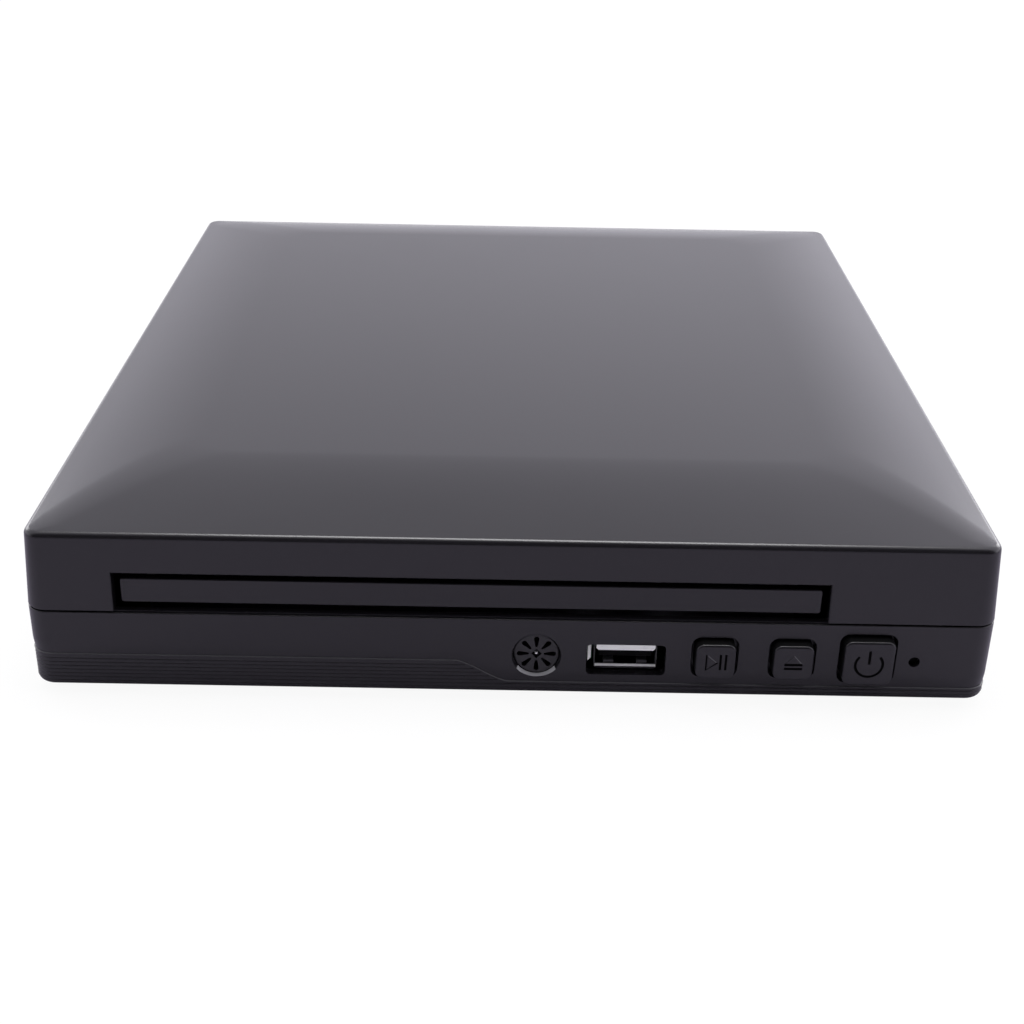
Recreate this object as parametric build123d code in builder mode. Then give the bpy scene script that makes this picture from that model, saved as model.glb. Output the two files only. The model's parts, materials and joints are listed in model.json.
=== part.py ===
from build123d import *
import os
from math import cos, pi, radians, sin, tan

os.makedirs("parts", exist_ok=True)

# A compact disc player with a front loading tray.
# Millimetres, +Z up, the front faces -Y, the feet stand on z = 0.

# ---------------------------------------------------------------- sizes: case
case_width = 198.0
case_depth = 217.0
foot_height = 2.0
bottom_height = 18.0
cover_height = 17.2
crown_rise = 2.8
wall = 2.2
floor_thickness = 2.0
roof_thickness = 2.0
corner_radius = 4.5
cover_draft = 1.0
rim_round = 1.0
front_bevel = 42.0
side_bevel = 28.0
back_bevel = 20.0
front_bevel_power = 1.5
side_bevel_power = 2.0
flat_corner_radius = 9.0
bottom_edge_round = 2.5
fit_gap = 0.3
running_gap = 0.05
button_reach = 2.0
jack_reach = 8.5

front_y = -(case_depth + jack_reach - button_reach) / 2
rear_y = front_y + case_depth
centre_y = (front_y + rear_y) / 2
floor_z = foot_height + floor_thickness
parting_z = foot_height + bottom_height
rim_z = parting_z + cover_height

# ------------------------------------------- sizes: stepped band on the bottom
band_setback = 0.45
band_top_left = 9.7
band_top_right = 4.85
band_slope_setback = 6.0
band_slope_width = 10.5

# ------------------------------------------------------- sizes: front features
slot_x = -8.25
slot_width = 144.9
slot_height = 8.5
door_width = 141.8
door_height = 5.5
door_thickness = 2.0
door_setback = 1.2
door_rise = 1.6
insert_x = case_width / 2 - 93.8
insert_z = 11.2
insert_radius = 4.9
insert_slot_count = 8
usb_x = case_width / 2 - 75.4
usb_z = 10.1
usb_hole_z = 10.5
usb_hole_width = 16.2
usb_hole_height = 7.05
usb_hole_radius = 0.9
small_cap_width = 8.75
small_cap_height = 7.9
power_cap_width = 10.5
power_cap_height = 10.3
play_x = case_width / 2 - 57.2
eject_x = case_width / 2 - 41.3
power_x = case_width / 2 - 25.9
small_cap_z = 11.5
power_cap_z = 11.7
cap_gap = 0.6
cap_corner = 1.6
button_travel = 0.5
light_x = case_width / 2 - 16.2
light_z = 11.2
light_radius = 1.1
band_slope_end_x = insert_x - band_slope_setback
band_slope_start_x = band_slope_end_x - band_slope_width

# ------------------------------------------------------- sizes: tray and drive
disc_diameter = 120.0
small_disc_diameter = 80.0
disc_thickness = 1.2
tray_width = 130.0
tray_length = 162.0
tray_thickness = 4.0
disc_recess_depth = 2.0
small_recess_depth = 0.9
recess_clearance = 1.0
disc_centre_setback = 65.0
window_width = 36.0
gear_module = 1.0
rack_step = pi * gear_module
teeth_travelled = 41
tray_travel = rack_step * teeth_travelled
tray_gear_teeth = 24
pulley_gear_teeth = 10
traverse_drop = 6.5
cam_travel = 24.0
pickup_travel = 34.0


def from_front(distance):
    """Y of a point that lies a distance behind the case's front face."""
    return front_y + distance


def flat(height, x=0, y=0):
    """A level plane at a height, with its origin at x, y."""
    return Plane((x, y, height))


def upright(y):
    """An upright plane at y, seen from the front: local x is X, local y is Z."""
    return Plane.XZ.offset(-y)


front_plane = upright(front_y)
rear_plane = upright(rear_y)

door_bottom = parting_z + door_rise
tray_top = door_bottom + door_height - 0.2
tray_bottom = tray_top - tray_thickness
tray_front = from_front(door_setback + door_thickness)
tray_rear = tray_front + tray_length
spindle_y = tray_front + disc_centre_setback
disc_floor = tray_top - disc_recess_depth


# ------------------------------------------------------------------ top cover
def bevel_share(rise_share, power):
    """How far in along a bevel the crown has climbed to a share of its rise."""
    return 1 - (1 - rise_share) ** (1 / power)


def cover_rings():
    """Height, side, front and back insets and corner radius of each outer ring."""
    rings = [(parting_z, 0, 0, 0, corner_radius)]
    for angle in (0, 45, 90):
        turn = cover_draft + rim_round * (1 - cos(radians(angle)))
        height = rim_z - rim_round * (1 - sin(radians(angle)))
        rings.append((height, turn, turn, turn, corner_radius))
    edge = cover_draft + rim_round
    for rise_share in (0.3, 0.6, 0.85, 1.0):
        side = edge + side_bevel * bevel_share(rise_share, side_bevel_power)
        front = edge + front_bevel * bevel_share(rise_share, front_bevel_power)
        back = edge + back_bevel * bevel_share(rise_share, side_bevel_power)
        radius = corner_radius + (flat_corner_radius - corner_radius) * rise_share
        rings.append((rim_z + crown_rise * rise_share, side, front, back, radius))
    return rings


def cover_rings_inside(wall_inset, lowering):
    """Plane, width, depth and radius of each ring, drawn in by a wall and lowered by a roof."""
    rings = []
    for height, side, front, back, radius in cover_rings():
        plane = flat(height - lowering, 0, centre_y + (front - back) / 2)
        width = case_width - 2 * (side + wall_inset)
        depth = case_depth - front - back - 2 * wall_inset
        rings.append((plane, width, depth, max(radius - wall_inset, 1.0)))
    return rings


cover_post_radius = 4.0
case_screw_radius = 1.4
case_screw_head_radius = 2.9
case_screw_head_height = 1.8
case_screw_inset_x = 10.5
case_screw_inset_y = 12.5
case_screw_depth = 9.0
case_screw_sunk = 0.2
case_screw_spots = [
    (side * (case_width / 2 - case_screw_inset_x), y)
    for side in (-1, 1)
    for y in (front_y + case_screw_inset_y, rear_y - case_screw_inset_y)
]

with BuildPart() as top_cover:
    for plane, width, depth, radius in cover_rings_inside(0, 0):
        with BuildSketch(plane):
            RectangleRounded(width, depth, radius)
    loft(ruled=True)
    for plane, width, depth, radius in cover_rings_inside(wall, roof_thickness):
        with BuildSketch(plane):
            RectangleRounded(width, depth, radius)
    loft(ruled=True, mode=Mode.SUBTRACT)
    with BuildSketch(flat(parting_z)):
        with Locations((0, centre_y)):
            RectangleRounded(case_width - 2 * (wall + cover_draft), case_depth - 2 * (wall + cover_draft), 2)
    extrude(amount=cover_height / 2, mode=Mode.SUBTRACT)
    with BuildSketch(front_plane):
        with Locations((slot_x, parting_z + slot_height / 2)):
            Rectangle(slot_width, slot_height)
    extrude(amount=-(wall + cover_draft + fit_gap), mode=Mode.SUBTRACT)
    with BuildSketch(flat(parting_z)):
        with Locations(*case_screw_spots):
            Circle(cover_post_radius)
    extrude(amount=cover_height - 0.4)
    with BuildSketch(flat(parting_z)):
        with Locations(*case_screw_spots):
            Circle(case_screw_radius + running_gap)
    extrude(amount=case_screw_depth + 1, mode=Mode.SUBTRACT)
top_cover.part.label = "top_cover"
export_step(top_cover.part, "parts/top_cover.step")

# ---------------------------------------------------------------- bottom case
foot_radius = 6.0
foot_seat = 0.8
foot_inset_x = 22.0
foot_inset_y = 24.0
foot_spots = [
    (side * (case_width / 2 - foot_inset_x), y)
    for side in (-1, 1)
    for y in (front_y + foot_inset_y, rear_y - foot_inset_y)
]
post_radius = 4.0
board_thickness = 1.6
usb_shell_width = 13.1
usb_shell_height = 5.7
usb_shell_depth = 14.0
usb_shell_sheet = 0.3
board_top = usb_z - usb_shell_height / 2
board_post_radius = 2.5
board_screw_radius = 1.2
board_screw_head_radius = 2.3
board_screw_head_height = 1.2
board_screw_depth = 1.3
front_board_left = usb_x - 9.6
front_board_right = case_width / 2 - 6.0
front_board_setback = 8.0
front_board_depth = 22.0
front_board_back = from_front(front_board_setback + front_board_depth)
front_board_spots = [
    (front_board_left + 4, front_board_back - 4),
    (play_x + 6.2, front_board_back - 4),
    (front_board_right - 5, front_board_back - 4),
]
main_board_width = case_width - 14.0
main_board_depth = 40.0
main_board_setback = 4.0
main_board_back = rear_y - main_board_setback
main_board_front = main_board_back - main_board_depth
main_board_spots = [
    (side * (main_board_width / 2 - 6), main_board_front + 5) for side in (-1, 1)
]
chassis_flange = 74.0
chassis_screw_x = 70.6
chassis_plate_z = 15.4
chassis_plate = 1.6
chassis_front_screw = 38.0
chassis_rear_screw = 160.0
chassis_screw_spots = [
    (slot_x + side * chassis_screw_x, from_front(y))
    for side in (-1, 1)
    for y in (chassis_front_screw, chassis_rear_screw)
]
jack_z = 12.6
jack_xs = (-20.0, -35.0, -50.0)
jack_radius = 4.15
jack_hole_gap = 0.3
hdmi_x = case_width / 2 - 57.0
hdmi_width = 15.0
hdmi_height = 5.6
hdmi_z = board_top + hdmi_height / 2
inlet_x = case_width / 2 - 25.0
inlet_z = 13.0
inlet_radius = 4.0
vent_count = 9
vent_width = 2.0
vent_length = 26.0
vent_step = 6.0
vent_y = main_board_front + main_board_depth / 2

with BuildPart() as bottom_case:
    with BuildSketch(flat(foot_height, 0, centre_y)):
        RectangleRounded(case_width, case_depth, corner_radius)
    extrude(amount=bottom_height)
    with BuildSketch(rear_plane):
        with BuildLine():
            Polyline(
                (-case_width, 0),
                (-case_width, band_top_left),
                (band_slope_start_x, band_top_left),
                (band_slope_end_x, band_top_right),
                (case_width, band_top_right),
                (case_width, 0),
                close=True,
            )
        make_face()
    extrude(amount=case_depth, mode=Mode.SUBTRACT)
    with BuildSketch(flat(foot_height, 0, centre_y)):
        RectangleRounded(
            case_width - 2 * band_setback, case_depth - 2 * band_setback, corner_radius - band_setback
        )
    extrude(amount=bottom_height)
    fillet(bottom_case.faces().sort_by(Axis.Z)[0].edges(), bottom_edge_round)
    with BuildSketch(flat(floor_z, 0, centre_y)):
        RectangleRounded(case_width - 2 * wall, case_depth - 2 * wall, corner_radius - wall)
    extrude(amount=bottom_height, mode=Mode.SUBTRACT)
    # openings in the front wall
    with BuildSketch(front_plane):
        with Locations((light_x, light_z)):
            Circle(light_radius + running_gap)
        with Locations((insert_x, insert_z)):
            Circle(insert_radius + running_gap)
        with Locations((usb_x, usb_hole_z)):
            RectangleRounded(usb_hole_width, usb_hole_height, usb_hole_radius)
        with Locations((play_x, small_cap_z), (eject_x, small_cap_z)):
            RectangleRounded(small_cap_width + 2 * cap_gap, small_cap_height + 2 * cap_gap, cap_corner)
        with Locations((power_x, power_cap_z)):
            RectangleRounded(power_cap_width + 2 * cap_gap, power_cap_height + 2 * cap_gap, cap_corner)
    extrude(amount=-(wall + fit_gap), mode=Mode.SUBTRACT)
    # openings in the rear wall
    with BuildSketch(rear_plane):
        with Locations(*[(x, jack_z) for x in jack_xs]):
            Circle(jack_radius + jack_hole_gap)
        with Locations((hdmi_x, hdmi_z)):
            Rectangle(hdmi_width + 2 * jack_hole_gap, hdmi_height + 2 * jack_hole_gap)
        with Locations((inlet_x, inlet_z)):
            Circle(inlet_radius + jack_hole_gap)
    extrude(amount=wall + fit_gap, mode=Mode.SUBTRACT)
    # posts for the cover, the loader and the two boards
    with BuildSketch(flat(floor_z)):
        with Locations(*case_screw_spots):
            Circle(post_radius)
    extrude(amount=parting_z - floor_z)
    with BuildSketch(flat(floor_z)):
        with Locations(*chassis_screw_spots):
            Circle(post_radius)
    extrude(amount=chassis_plate_z - floor_z)
    with BuildSketch(flat(floor_z)):
        with Locations(*front_board_spots, *main_board_spots):
            Circle(board_post_radius)
    extrude(amount=board_top - board_thickness - floor_z)
    # screw holes, from below for the cover and from above for the rest
    with BuildSketch(flat(foot_height)):
        with Locations(*case_screw_spots):
            Circle(case_screw_radius + running_gap)
    extrude(amount=bottom_height, mode=Mode.SUBTRACT)
    with BuildSketch(flat(foot_height)):
        with Locations(*case_screw_spots):
            Circle(case_screw_head_radius + fit_gap)
    extrude(amount=case_screw_head_height + case_screw_sunk, mode=Mode.SUBTRACT)
    with BuildSketch(flat(chassis_plate_z)):
        with Locations(*chassis_screw_spots):
            Circle(case_screw_radius + running_gap)
    extrude(amount=-case_screw_depth, mode=Mode.SUBTRACT)
    with BuildSketch(flat(board_top - board_thickness)):
        with Locations(*front_board_spots, *main_board_spots):
            Circle(board_screw_radius + running_gap)
    extrude(amount=-board_screw_depth, mode=Mode.SUBTRACT)
    # seats for the feet and the cooling slots under the main board
    with BuildSketch(flat(foot_height)):
        with Locations(*foot_spots):
            Circle(foot_radius + running_gap)
    extrude(amount=foot_seat, mode=Mode.SUBTRACT)
    with BuildSketch(flat(foot_height)):
        with Locations((0, vent_y)):
            with GridLocations(vent_step, 1, vent_count, 1):
                SlotOverall(vent_length, vent_width, rotation=90)
    extrude(amount=floor_thickness + fit_gap, mode=Mode.SUBTRACT)
bottom_case.part.label = "bottom_case"
export_step(bottom_case.part, "parts/bottom_case.step")

# ------------------------------------------------------- feet and case screws
foot_edge_round = 0.6
with BuildPart() as rubber_feet:
    with BuildSketch(flat(0)):
        with Locations(*foot_spots):
            Circle(foot_radius)
    extrude(amount=foot_height + foot_seat)
    fillet(rubber_feet.faces().sort_by(Axis.Z)[:4].edges(), foot_edge_round)
rubber_feet.part.label = "rubber_feet"
export_step(rubber_feet.part, "parts/rubber_feet.step")

screw_cross_length = 3.0
screw_cross_width = 0.7
screw_cross_depth = 1.0

with BuildPart() as case_screws:
    with BuildSketch(flat(foot_height + case_screw_sunk)):
        with Locations(*case_screw_spots):
            Circle(case_screw_head_radius)
    extrude(amount=case_screw_head_height)
    with BuildSketch(flat(foot_height)):
        with Locations(*case_screw_spots):
            Circle(case_screw_radius)
    extrude(amount=bottom_height + case_screw_depth)
    with BuildSketch(flat(foot_height)):
        with Locations(*case_screw_spots):
            Rectangle(screw_cross_length, screw_cross_width)
            Rectangle(screw_cross_width, screw_cross_length)
    extrude(amount=screw_cross_depth, mode=Mode.SUBTRACT)
case_screws.part.label = "case_screws"
export_step(case_screws.part, "parts/case_screws.step")

# --------------------------------------------- slotted insert in the front wall
insert_setback = 0.4
insert_depth = 5.0
insert_flange = 1.2
insert_flange_thickness = 1.2
insert_slot_depth = 1.5
insert_boss_radius = 0.8
insert_slot_inner = 1.8
insert_slot_outer = 4.2
insert_slot_width = 0.75

with BuildPart() as blanking_insert:
    with BuildSketch(front_plane):
        with Locations((insert_x, insert_z)):
            Circle(insert_radius)
    extrude(amount=-insert_depth)
    with BuildSketch(front_plane):
        with Locations((insert_x, insert_z)):
            Circle(insert_radius + 1)
    extrude(amount=-insert_setback, mode=Mode.SUBTRACT)
    with BuildSketch(upright(from_front(wall))):
        with Locations((insert_x, insert_z)):
            Circle(insert_radius + insert_flange)
    extrude(amount=-insert_flange_thickness)
    with BuildSketch(upright(from_front(insert_setback))):
        with Locations((insert_x, insert_z)):
            with PolarLocations((insert_slot_inner + insert_slot_outer) / 2, insert_slot_count):
                SlotOverall(insert_slot_outer - insert_slot_inner, insert_slot_width)
            RegularPolygon(insert_boss_radius, 4)
    extrude(amount=-insert_slot_depth, mode=Mode.SUBTRACT)
blanking_insert.part.label = "blanking_insert"
export_step(blanking_insert.part, "parts/blanking_insert.step")

# ----------------------------------------------------------- indicator light
light_body_radius = 1.5
light_setback = 0.3
light_depth = 9.0
light_leg_depth = 3.0

with BuildPart() as indicator_light:
    with BuildSketch(upright(from_front(light_setback))):
        with Locations((light_x, light_z)):
            Circle(light_radius)
    extrude(amount=-(light_depth - light_setback))
    with BuildSketch(upright(from_front(wall + fit_gap))):
        with Locations((light_x, light_z)):
            Circle(light_body_radius)
    extrude(amount=-(light_depth - wall - fit_gap))
    with BuildSketch(flat(board_top, light_x, from_front(light_depth + light_leg_depth / 2))):
        Rectangle(2 * light_body_radius, light_leg_depth)
    extrude(amount=light_z + light_body_radius - board_top)
indicator_light.part.label = "indicator_light"
export_step(indicator_light.part, "parts/indicator_light.step")

# ------------------------------------------------------------------- buttons
cap_skirt = 1.0
cap_skirt_thickness = 1.0
plunger_radius = 1.5
switch_face = 9.4
cap_edge_round = 0.5
plunger_slack = 0.1
icon_depth = 0.35
icon_line = 0.55
icon_size = 1.7
ring_radius = 2.9


def button_side(x, z):
    """The plane of a button's face, with its origin at the cap's middle."""
    return upright(from_front(-button_reach)).shift_origin((x, from_front(-button_reach), z))


def triangle(turn, x, z):
    """An equal-sided outline round x, z, with one point at an angle."""
    angles = [radians(turn + k * 120) for k in range(3)]
    return [(x + icon_size * cos(angle), z + icon_size * sin(angle)) for angle in angles]


def bar(width, height, x, z):
    """Outline of an upright or level bar round x, z."""
    corners = ((-1, -1), (1, -1), (1, 1), (-1, 1))
    return [(x + width / 2 * across, z + height / 2 * up) for across, up in corners]


play_icon = (triangle(0, -1.0, 0), bar(icon_line, 2.9, 1.3, 0), bar(icon_line, 2.9, 2.4, 0))
eject_icon = (triangle(90, 0, 0.3), bar(3.4, icon_line, 0, -1.6))
power_icon = (bar(icon_line, 2.8, 0, 1.7),)
power_ring_gap = bar(2.2, 2.6, 0, 2.4)
button_caps = (
    ("play_button", play_x, small_cap_z, small_cap_width, small_cap_height, play_icon),
    ("eject_button", eject_x, small_cap_z, small_cap_width, small_cap_height, eject_icon),
    ("power_button", power_x, power_cap_z, power_cap_width, power_cap_height, power_icon),
)

for node, x, z, width, height, icon in button_caps:
    with BuildPart() as button:
        with BuildSketch(button_side(x, z)):
            RectangleRounded(width, height, cap_corner)
        extrude(amount=-(button_reach + wall + fit_gap))
        fillet(button.faces().sort_by(Axis.Y)[0].edges(), cap_edge_round)
        with BuildSketch(upright(from_front(wall + fit_gap))):
            with Locations((x, z)):
                RectangleRounded(width + 3 * cap_skirt, height + cap_skirt, cap_corner)
        extrude(amount=-cap_skirt_thickness)
        with BuildSketch(upright(from_front(wall))):
            with Locations((x, z)):
                Circle(plunger_radius)
        extrude(amount=-(switch_face - wall - button_travel - plunger_slack))
        with BuildSketch(button_side(x, z)):
            if icon is power_icon:
                Circle(ring_radius)
                Circle(ring_radius - icon_line, mode=Mode.SUBTRACT)
                Polygon(*power_ring_gap, align=None, mode=Mode.SUBTRACT)
            for outline in icon:
                Polygon(*outline, align=None)
        extrude(amount=-icon_depth, mode=Mode.SUBTRACT)
    button.part.label = node
    export_step(button.part, f"parts/{node}.step")

# ------------------------------------------------------ front board and socket
with BuildPart() as front_board:
    with BuildSketch(flat(board_top - board_thickness)):
        with Locations(((front_board_left + front_board_right) / 2, front_board_back - front_board_depth / 2)):
            Rectangle(front_board_right - front_board_left, front_board_depth)
        with Locations(*front_board_spots):
            Circle(board_screw_radius + running_gap, mode=Mode.SUBTRACT)
        with Locations(*case_screw_spots):
            Circle(post_radius + fit_gap, mode=Mode.SUBTRACT)
    extrude(amount=board_thickness)
front_board.part.label = "front_board"
export_step(front_board.part, "parts/front_board.step")

switch_width = 6.2
switch_depth = 4.0
switch_stem_radius = 1.75
switch_stem_length = 1.0
with BuildPart() as button_switches:
    for x, z in ((play_x, small_cap_z), (eject_x, small_cap_z), (power_x, power_cap_z)):
        with BuildSketch(flat(board_top, x, from_front(switch_face + switch_stem_length + switch_depth / 2))):
            Rectangle(switch_width, switch_depth)
        extrude(amount=z + switch_width / 2 - board_top)
        with BuildSketch(upright(from_front(switch_face))):
            with Locations((x, z)):
                Circle(switch_stem_radius)
        extrude(amount=-(switch_stem_length + 0.5))
button_switches.part.label = "button_switches"
export_step(button_switches.part, "parts/button_switches.step")

usb_front = 0.5
usb_lip_width = 15.2
usb_lip_height = 6.5
usb_tongue_width = 11.1
usb_tongue_thickness = 1.84
usb_tongue_lift = 0.75
usb_tongue_setback = 2.0
usb_tongue_root = 3.0

with BuildPart() as usb_shell:
    with BuildSketch(upright(from_front(usb_front))):
        with Locations((usb_x, usb_z)):
            RectangleRounded(usb_shell_width, usb_shell_height, 0.6)
    extrude(amount=-usb_shell_depth)
    with BuildSketch(upright(from_front(usb_front))):
        with Locations((usb_x, usb_z + (usb_lip_height - usb_shell_height) / 2)):
            RectangleRounded(usb_lip_width, usb_lip_height, 0.7)
    extrude(amount=-usb_shell_sheet)
    with BuildSketch(upright(from_front(usb_front))):
        with Locations((usb_x, usb_z)):
            Rectangle(usb_shell_width - 2 * usb_shell_sheet, usb_shell_height - 2 * usb_shell_sheet)
    extrude(amount=-(usb_shell_depth - usb_shell_sheet), mode=Mode.SUBTRACT)
usb_shell.part.label = "usb_shell"
export_step(usb_shell.part, "parts/usb_shell.step")

with BuildPart() as usb_tongue:
    with BuildSketch(upright(from_front(usb_front + usb_tongue_setback))):
        with Locations((usb_x, usb_z + usb_tongue_lift)):
            Rectangle(usb_tongue_width, usb_tongue_thickness)
    extrude(amount=-(usb_shell_depth - usb_tongue_setback - usb_shell_sheet))
    with BuildSketch(upright(from_front(usb_front + usb_shell_depth - usb_tongue_root))):
        with Locations((usb_x, usb_z)):
            Rectangle(usb_shell_width - 2 * usb_shell_sheet, usb_shell_height - 2 * usb_shell_sheet)
    extrude(amount=-(usb_tongue_root - usb_shell_sheet))
usb_tongue.part.label = "usb_tongue"
export_step(usb_tongue.part, "parts/usb_tongue.step")

# ------------------------------------------------- main board and rear sockets
with BuildPart() as main_board:
    with BuildSketch(flat(board_top - board_thickness)):
        with Locations((0, main_board_front + main_board_depth / 2)):
            Rectangle(main_board_width, main_board_depth)
        with Locations(*main_board_spots):
            Circle(board_screw_radius + running_gap, mode=Mode.SUBTRACT)
        with Locations(*case_screw_spots):
            Circle(post_radius + fit_gap, mode=Mode.SUBTRACT)
    extrude(amount=board_thickness)
main_board.part.label = "main_board"
export_step(main_board.part, "parts/main_board.step")

with BuildPart() as board_screws:
    with BuildSketch(flat(board_top)):
        with Locations(*front_board_spots, *main_board_spots):
            Circle(board_screw_head_radius)
    extrude(amount=board_screw_head_height)
    with BuildSketch(flat(board_top)):
        with Locations(*front_board_spots, *main_board_spots):
            Circle(board_screw_radius)
    extrude(amount=-(board_thickness + board_screw_depth))
board_screws.part.label = "board_screws"
export_step(board_screws.part, "parts/board_screws.step")

# each chip: x, y behind the board's front edge, width, depth, height
chip_sizes = (
    (22.0 - main_board_width / 2, 12.0, 14.0, 14.0, 1.4),
    (-40.0, 9.0, 20.0, 8.0, 1.2),
    (0.0, 14.0, 9.0, 6.0, 1.6),
    (22.0, 10.0, 12.0, 12.0, 5.0),
)
capacitor_spots = ((50.0, 9.0), (60.0, 9.0), (52.0, 20.0))
capacitor_radius = 3.0
capacitor_height = 6.5
with BuildPart() as board_components:
    for x, y, width, depth, height in chip_sizes:
        with BuildSketch(flat(board_top, x, main_board_front + y)):
            Rectangle(width, depth)
        extrude(amount=height)
    with BuildSketch(flat(board_top)):
        with Locations(*[(x, main_board_front + y) for x, y in capacitor_spots]):
            Circle(capacitor_radius)
    extrude(amount=capacitor_height)
board_components.part.label = "board_components"
export_step(board_components.part, "parts/board_components.step")

jack_block_width = 10.0
jack_block_depth = 11.0
jack_block_front = rear_y - wall - jack_block_depth - fit_gap
jack_block_back = jack_block_front + jack_block_depth
jack_sleeve_wall = 0.6
jack_sleeve_step = 0.15
jack_pin_radius = 1.6
jack_core_setback = 0.4


for node, x in zip(("video_jack", "left_audio_jack", "right_audio_jack"), jack_xs):
    with BuildPart() as colour_jack:
        with BuildSketch(flat(board_top, x, (jack_block_front + jack_block_back) / 2)):
            Rectangle(jack_block_width, jack_block_depth)
        extrude(amount=jack_z + jack_block_width / 2 - board_top)
        with BuildSketch(upright(jack_block_back)):
            with Locations((x, jack_z)):
                Circle(jack_radius - jack_sleeve_wall - running_gap)
        extrude(amount=-(rear_y + jack_reach - jack_core_setback - jack_block_back))
        with BuildSketch(upright(jack_block_back)):
            with Locations((x, jack_z)):
                Circle(jack_pin_radius)
        extrude(amount=-(rear_y + jack_reach), mode=Mode.SUBTRACT)
    colour_jack.part.label = node
    export_step(colour_jack.part, f"parts/{node}.step")

with BuildPart() as jack_sleeves:
    with BuildSketch(upright(jack_block_back)):
        with Locations(*[(x, jack_z) for x in jack_xs]):
            Circle(jack_radius - jack_sleeve_step)
    extrude(amount=-(rear_y - jack_block_back))
    with BuildSketch(rear_plane):
        with Locations(*[(x, jack_z) for x in jack_xs]):
            Circle(jack_radius)
    extrude(amount=-jack_reach)
    with BuildSketch(upright(jack_block_back)):
        with Locations(*[(x, jack_z) for x in jack_xs]):
            Circle(jack_radius - jack_sleeve_wall)
    extrude(amount=-(rear_y + jack_reach - jack_block_back), mode=Mode.SUBTRACT)
jack_sleeves.part.label = "jack_sleeves"
export_step(jack_sleeves.part, "parts/jack_sleeves.step")

hdmi_depth = 12.0
hdmi_sheet = 0.4
hdmi_proud = 0.2
hdmi_chamfer = 2.0
hdmi_side_bottom = 0.8
hdmi_tongue = (11.0, 1.2)
hdmi_floor = 2.0


def hdmi_outline(inset):
    """The socket's outline with both lower corners cut, drawn in by an inset."""
    half = hdmi_width / 2 - inset
    top = hdmi_z + hdmi_height / 2 - inset
    side = hdmi_z - hdmi_side_bottom + inset / 2
    bottom = hdmi_z - hdmi_height / 2 + inset
    cut = hdmi_width / 2 - hdmi_chamfer - inset / 2
    right = [(hdmi_x + half, top), (hdmi_x + half, side), (hdmi_x + cut, bottom)]
    return right + [(hdmi_x - cut, bottom), (hdmi_x - half, side), (hdmi_x - half, top)]


with BuildPart() as hdmi_socket:
    with BuildSketch(upright(rear_y - hdmi_depth)):
        Polygon(*hdmi_outline(0), align=None)
    extrude(amount=-(hdmi_depth + hdmi_proud))
    with BuildSketch(upright(rear_y + hdmi_proud)):
        Polygon(*hdmi_outline(hdmi_sheet), align=None)
        with Locations((hdmi_x, hdmi_z + hdmi_sheet)):
            Rectangle(*hdmi_tongue, mode=Mode.SUBTRACT)
    extrude(amount=hdmi_depth - hdmi_floor, mode=Mode.SUBTRACT)
hdmi_socket.part.label = "hdmi_socket"
export_step(hdmi_socket.part, "parts/hdmi_socket.step")

inlet_width = 10.0
inlet_depth = 13.0
inlet_bore_radius = 2.75
inlet_pin_radius = 0.65
inlet_floor = 2.0
with BuildPart() as power_inlet:
    with BuildSketch(flat(board_top, inlet_x, rear_y - wall - fit_gap - inlet_depth / 2)):
        Rectangle(inlet_width, inlet_depth)
    extrude(amount=inlet_z + inlet_width / 2 - board_top)
    with BuildSketch(upright(rear_y - wall - 1.0)):
        with Locations((inlet_x, inlet_z)):
            Circle(inlet_radius)
    extrude(amount=-(wall + 1.0))
    with BuildSketch(rear_plane):
        with Locations((inlet_x, inlet_z)):
            Circle(inlet_bore_radius)
            Circle(inlet_pin_radius, mode=Mode.SUBTRACT)
    extrude(amount=inlet_depth - inlet_floor, mode=Mode.SUBTRACT)
power_inlet.part.label = "power_inlet"
export_step(power_inlet.part, "parts/power_inlet.step")

# ------------------------------------------------------------- loader chassis
chassis_setback = 10.0
chassis_rear_margin = 20.0
hinge_margin = 7.0
hinge_setback = 165.0
hinge_y = from_front(hinge_setback)
opening_front = from_front(42.2)
opening_rear = hinge_y + hinge_margin
chassis_front = from_front(chassis_setback)
chassis_rear = opening_rear + chassis_rear_margin
chassis_inner = tray_width / 2 + 0.4
chassis_wall = 2.0
chassis_outer = chassis_inner + chassis_wall
chassis_top = 29.6
chassis_middle_y = (chassis_front + chassis_rear) / 2
chassis_length = chassis_rear - chassis_front
ledge_inner = 62.5
ledge_thickness = 1.6
ledge_top = tray_bottom - fit_gap
hold_down_bottom = tray_top + fit_gap
hold_down_thickness = 1.4
hold_down_length = 10.0
hold_down_reach = 2.4
hold_down_setbacks = (20.0, 96.0, 158.0)
opening_half = 47.2
plate_top = chassis_plate_z + chassis_plate
hinge_pin_radius = 1.5
rod_z = 16.7
hinge_block_width = 4.6
hinge_block_length = 10.0
hinge_block_top = 20.4
chassis_tab_length = 12.0
bridge_post_radius = 3.2
bridge_post_x = chassis_outer + bridge_post_radius - 0.8
bridge_screw_radius = 1.2
gear_y = from_front(26.0)
gear_post_radius = 1.5
rack_inset = 9.0
rack_line_x = slot_x - tray_width / 2 + rack_inset
tray_gear_x = rack_line_x + gear_module * tray_gear_teeth / 2
pulley_gear_x = tray_gear_x + gear_module * (tray_gear_teeth + pulley_gear_teeth) / 2
motor_x = slot_x + 6.0
motor_radius = 12.2
motor_boss_radius = 3.1
gear_level = plate_top + fit_gap
tray_gear_bottom = 20.3
gear_top = tray_bottom - 0.4


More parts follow.
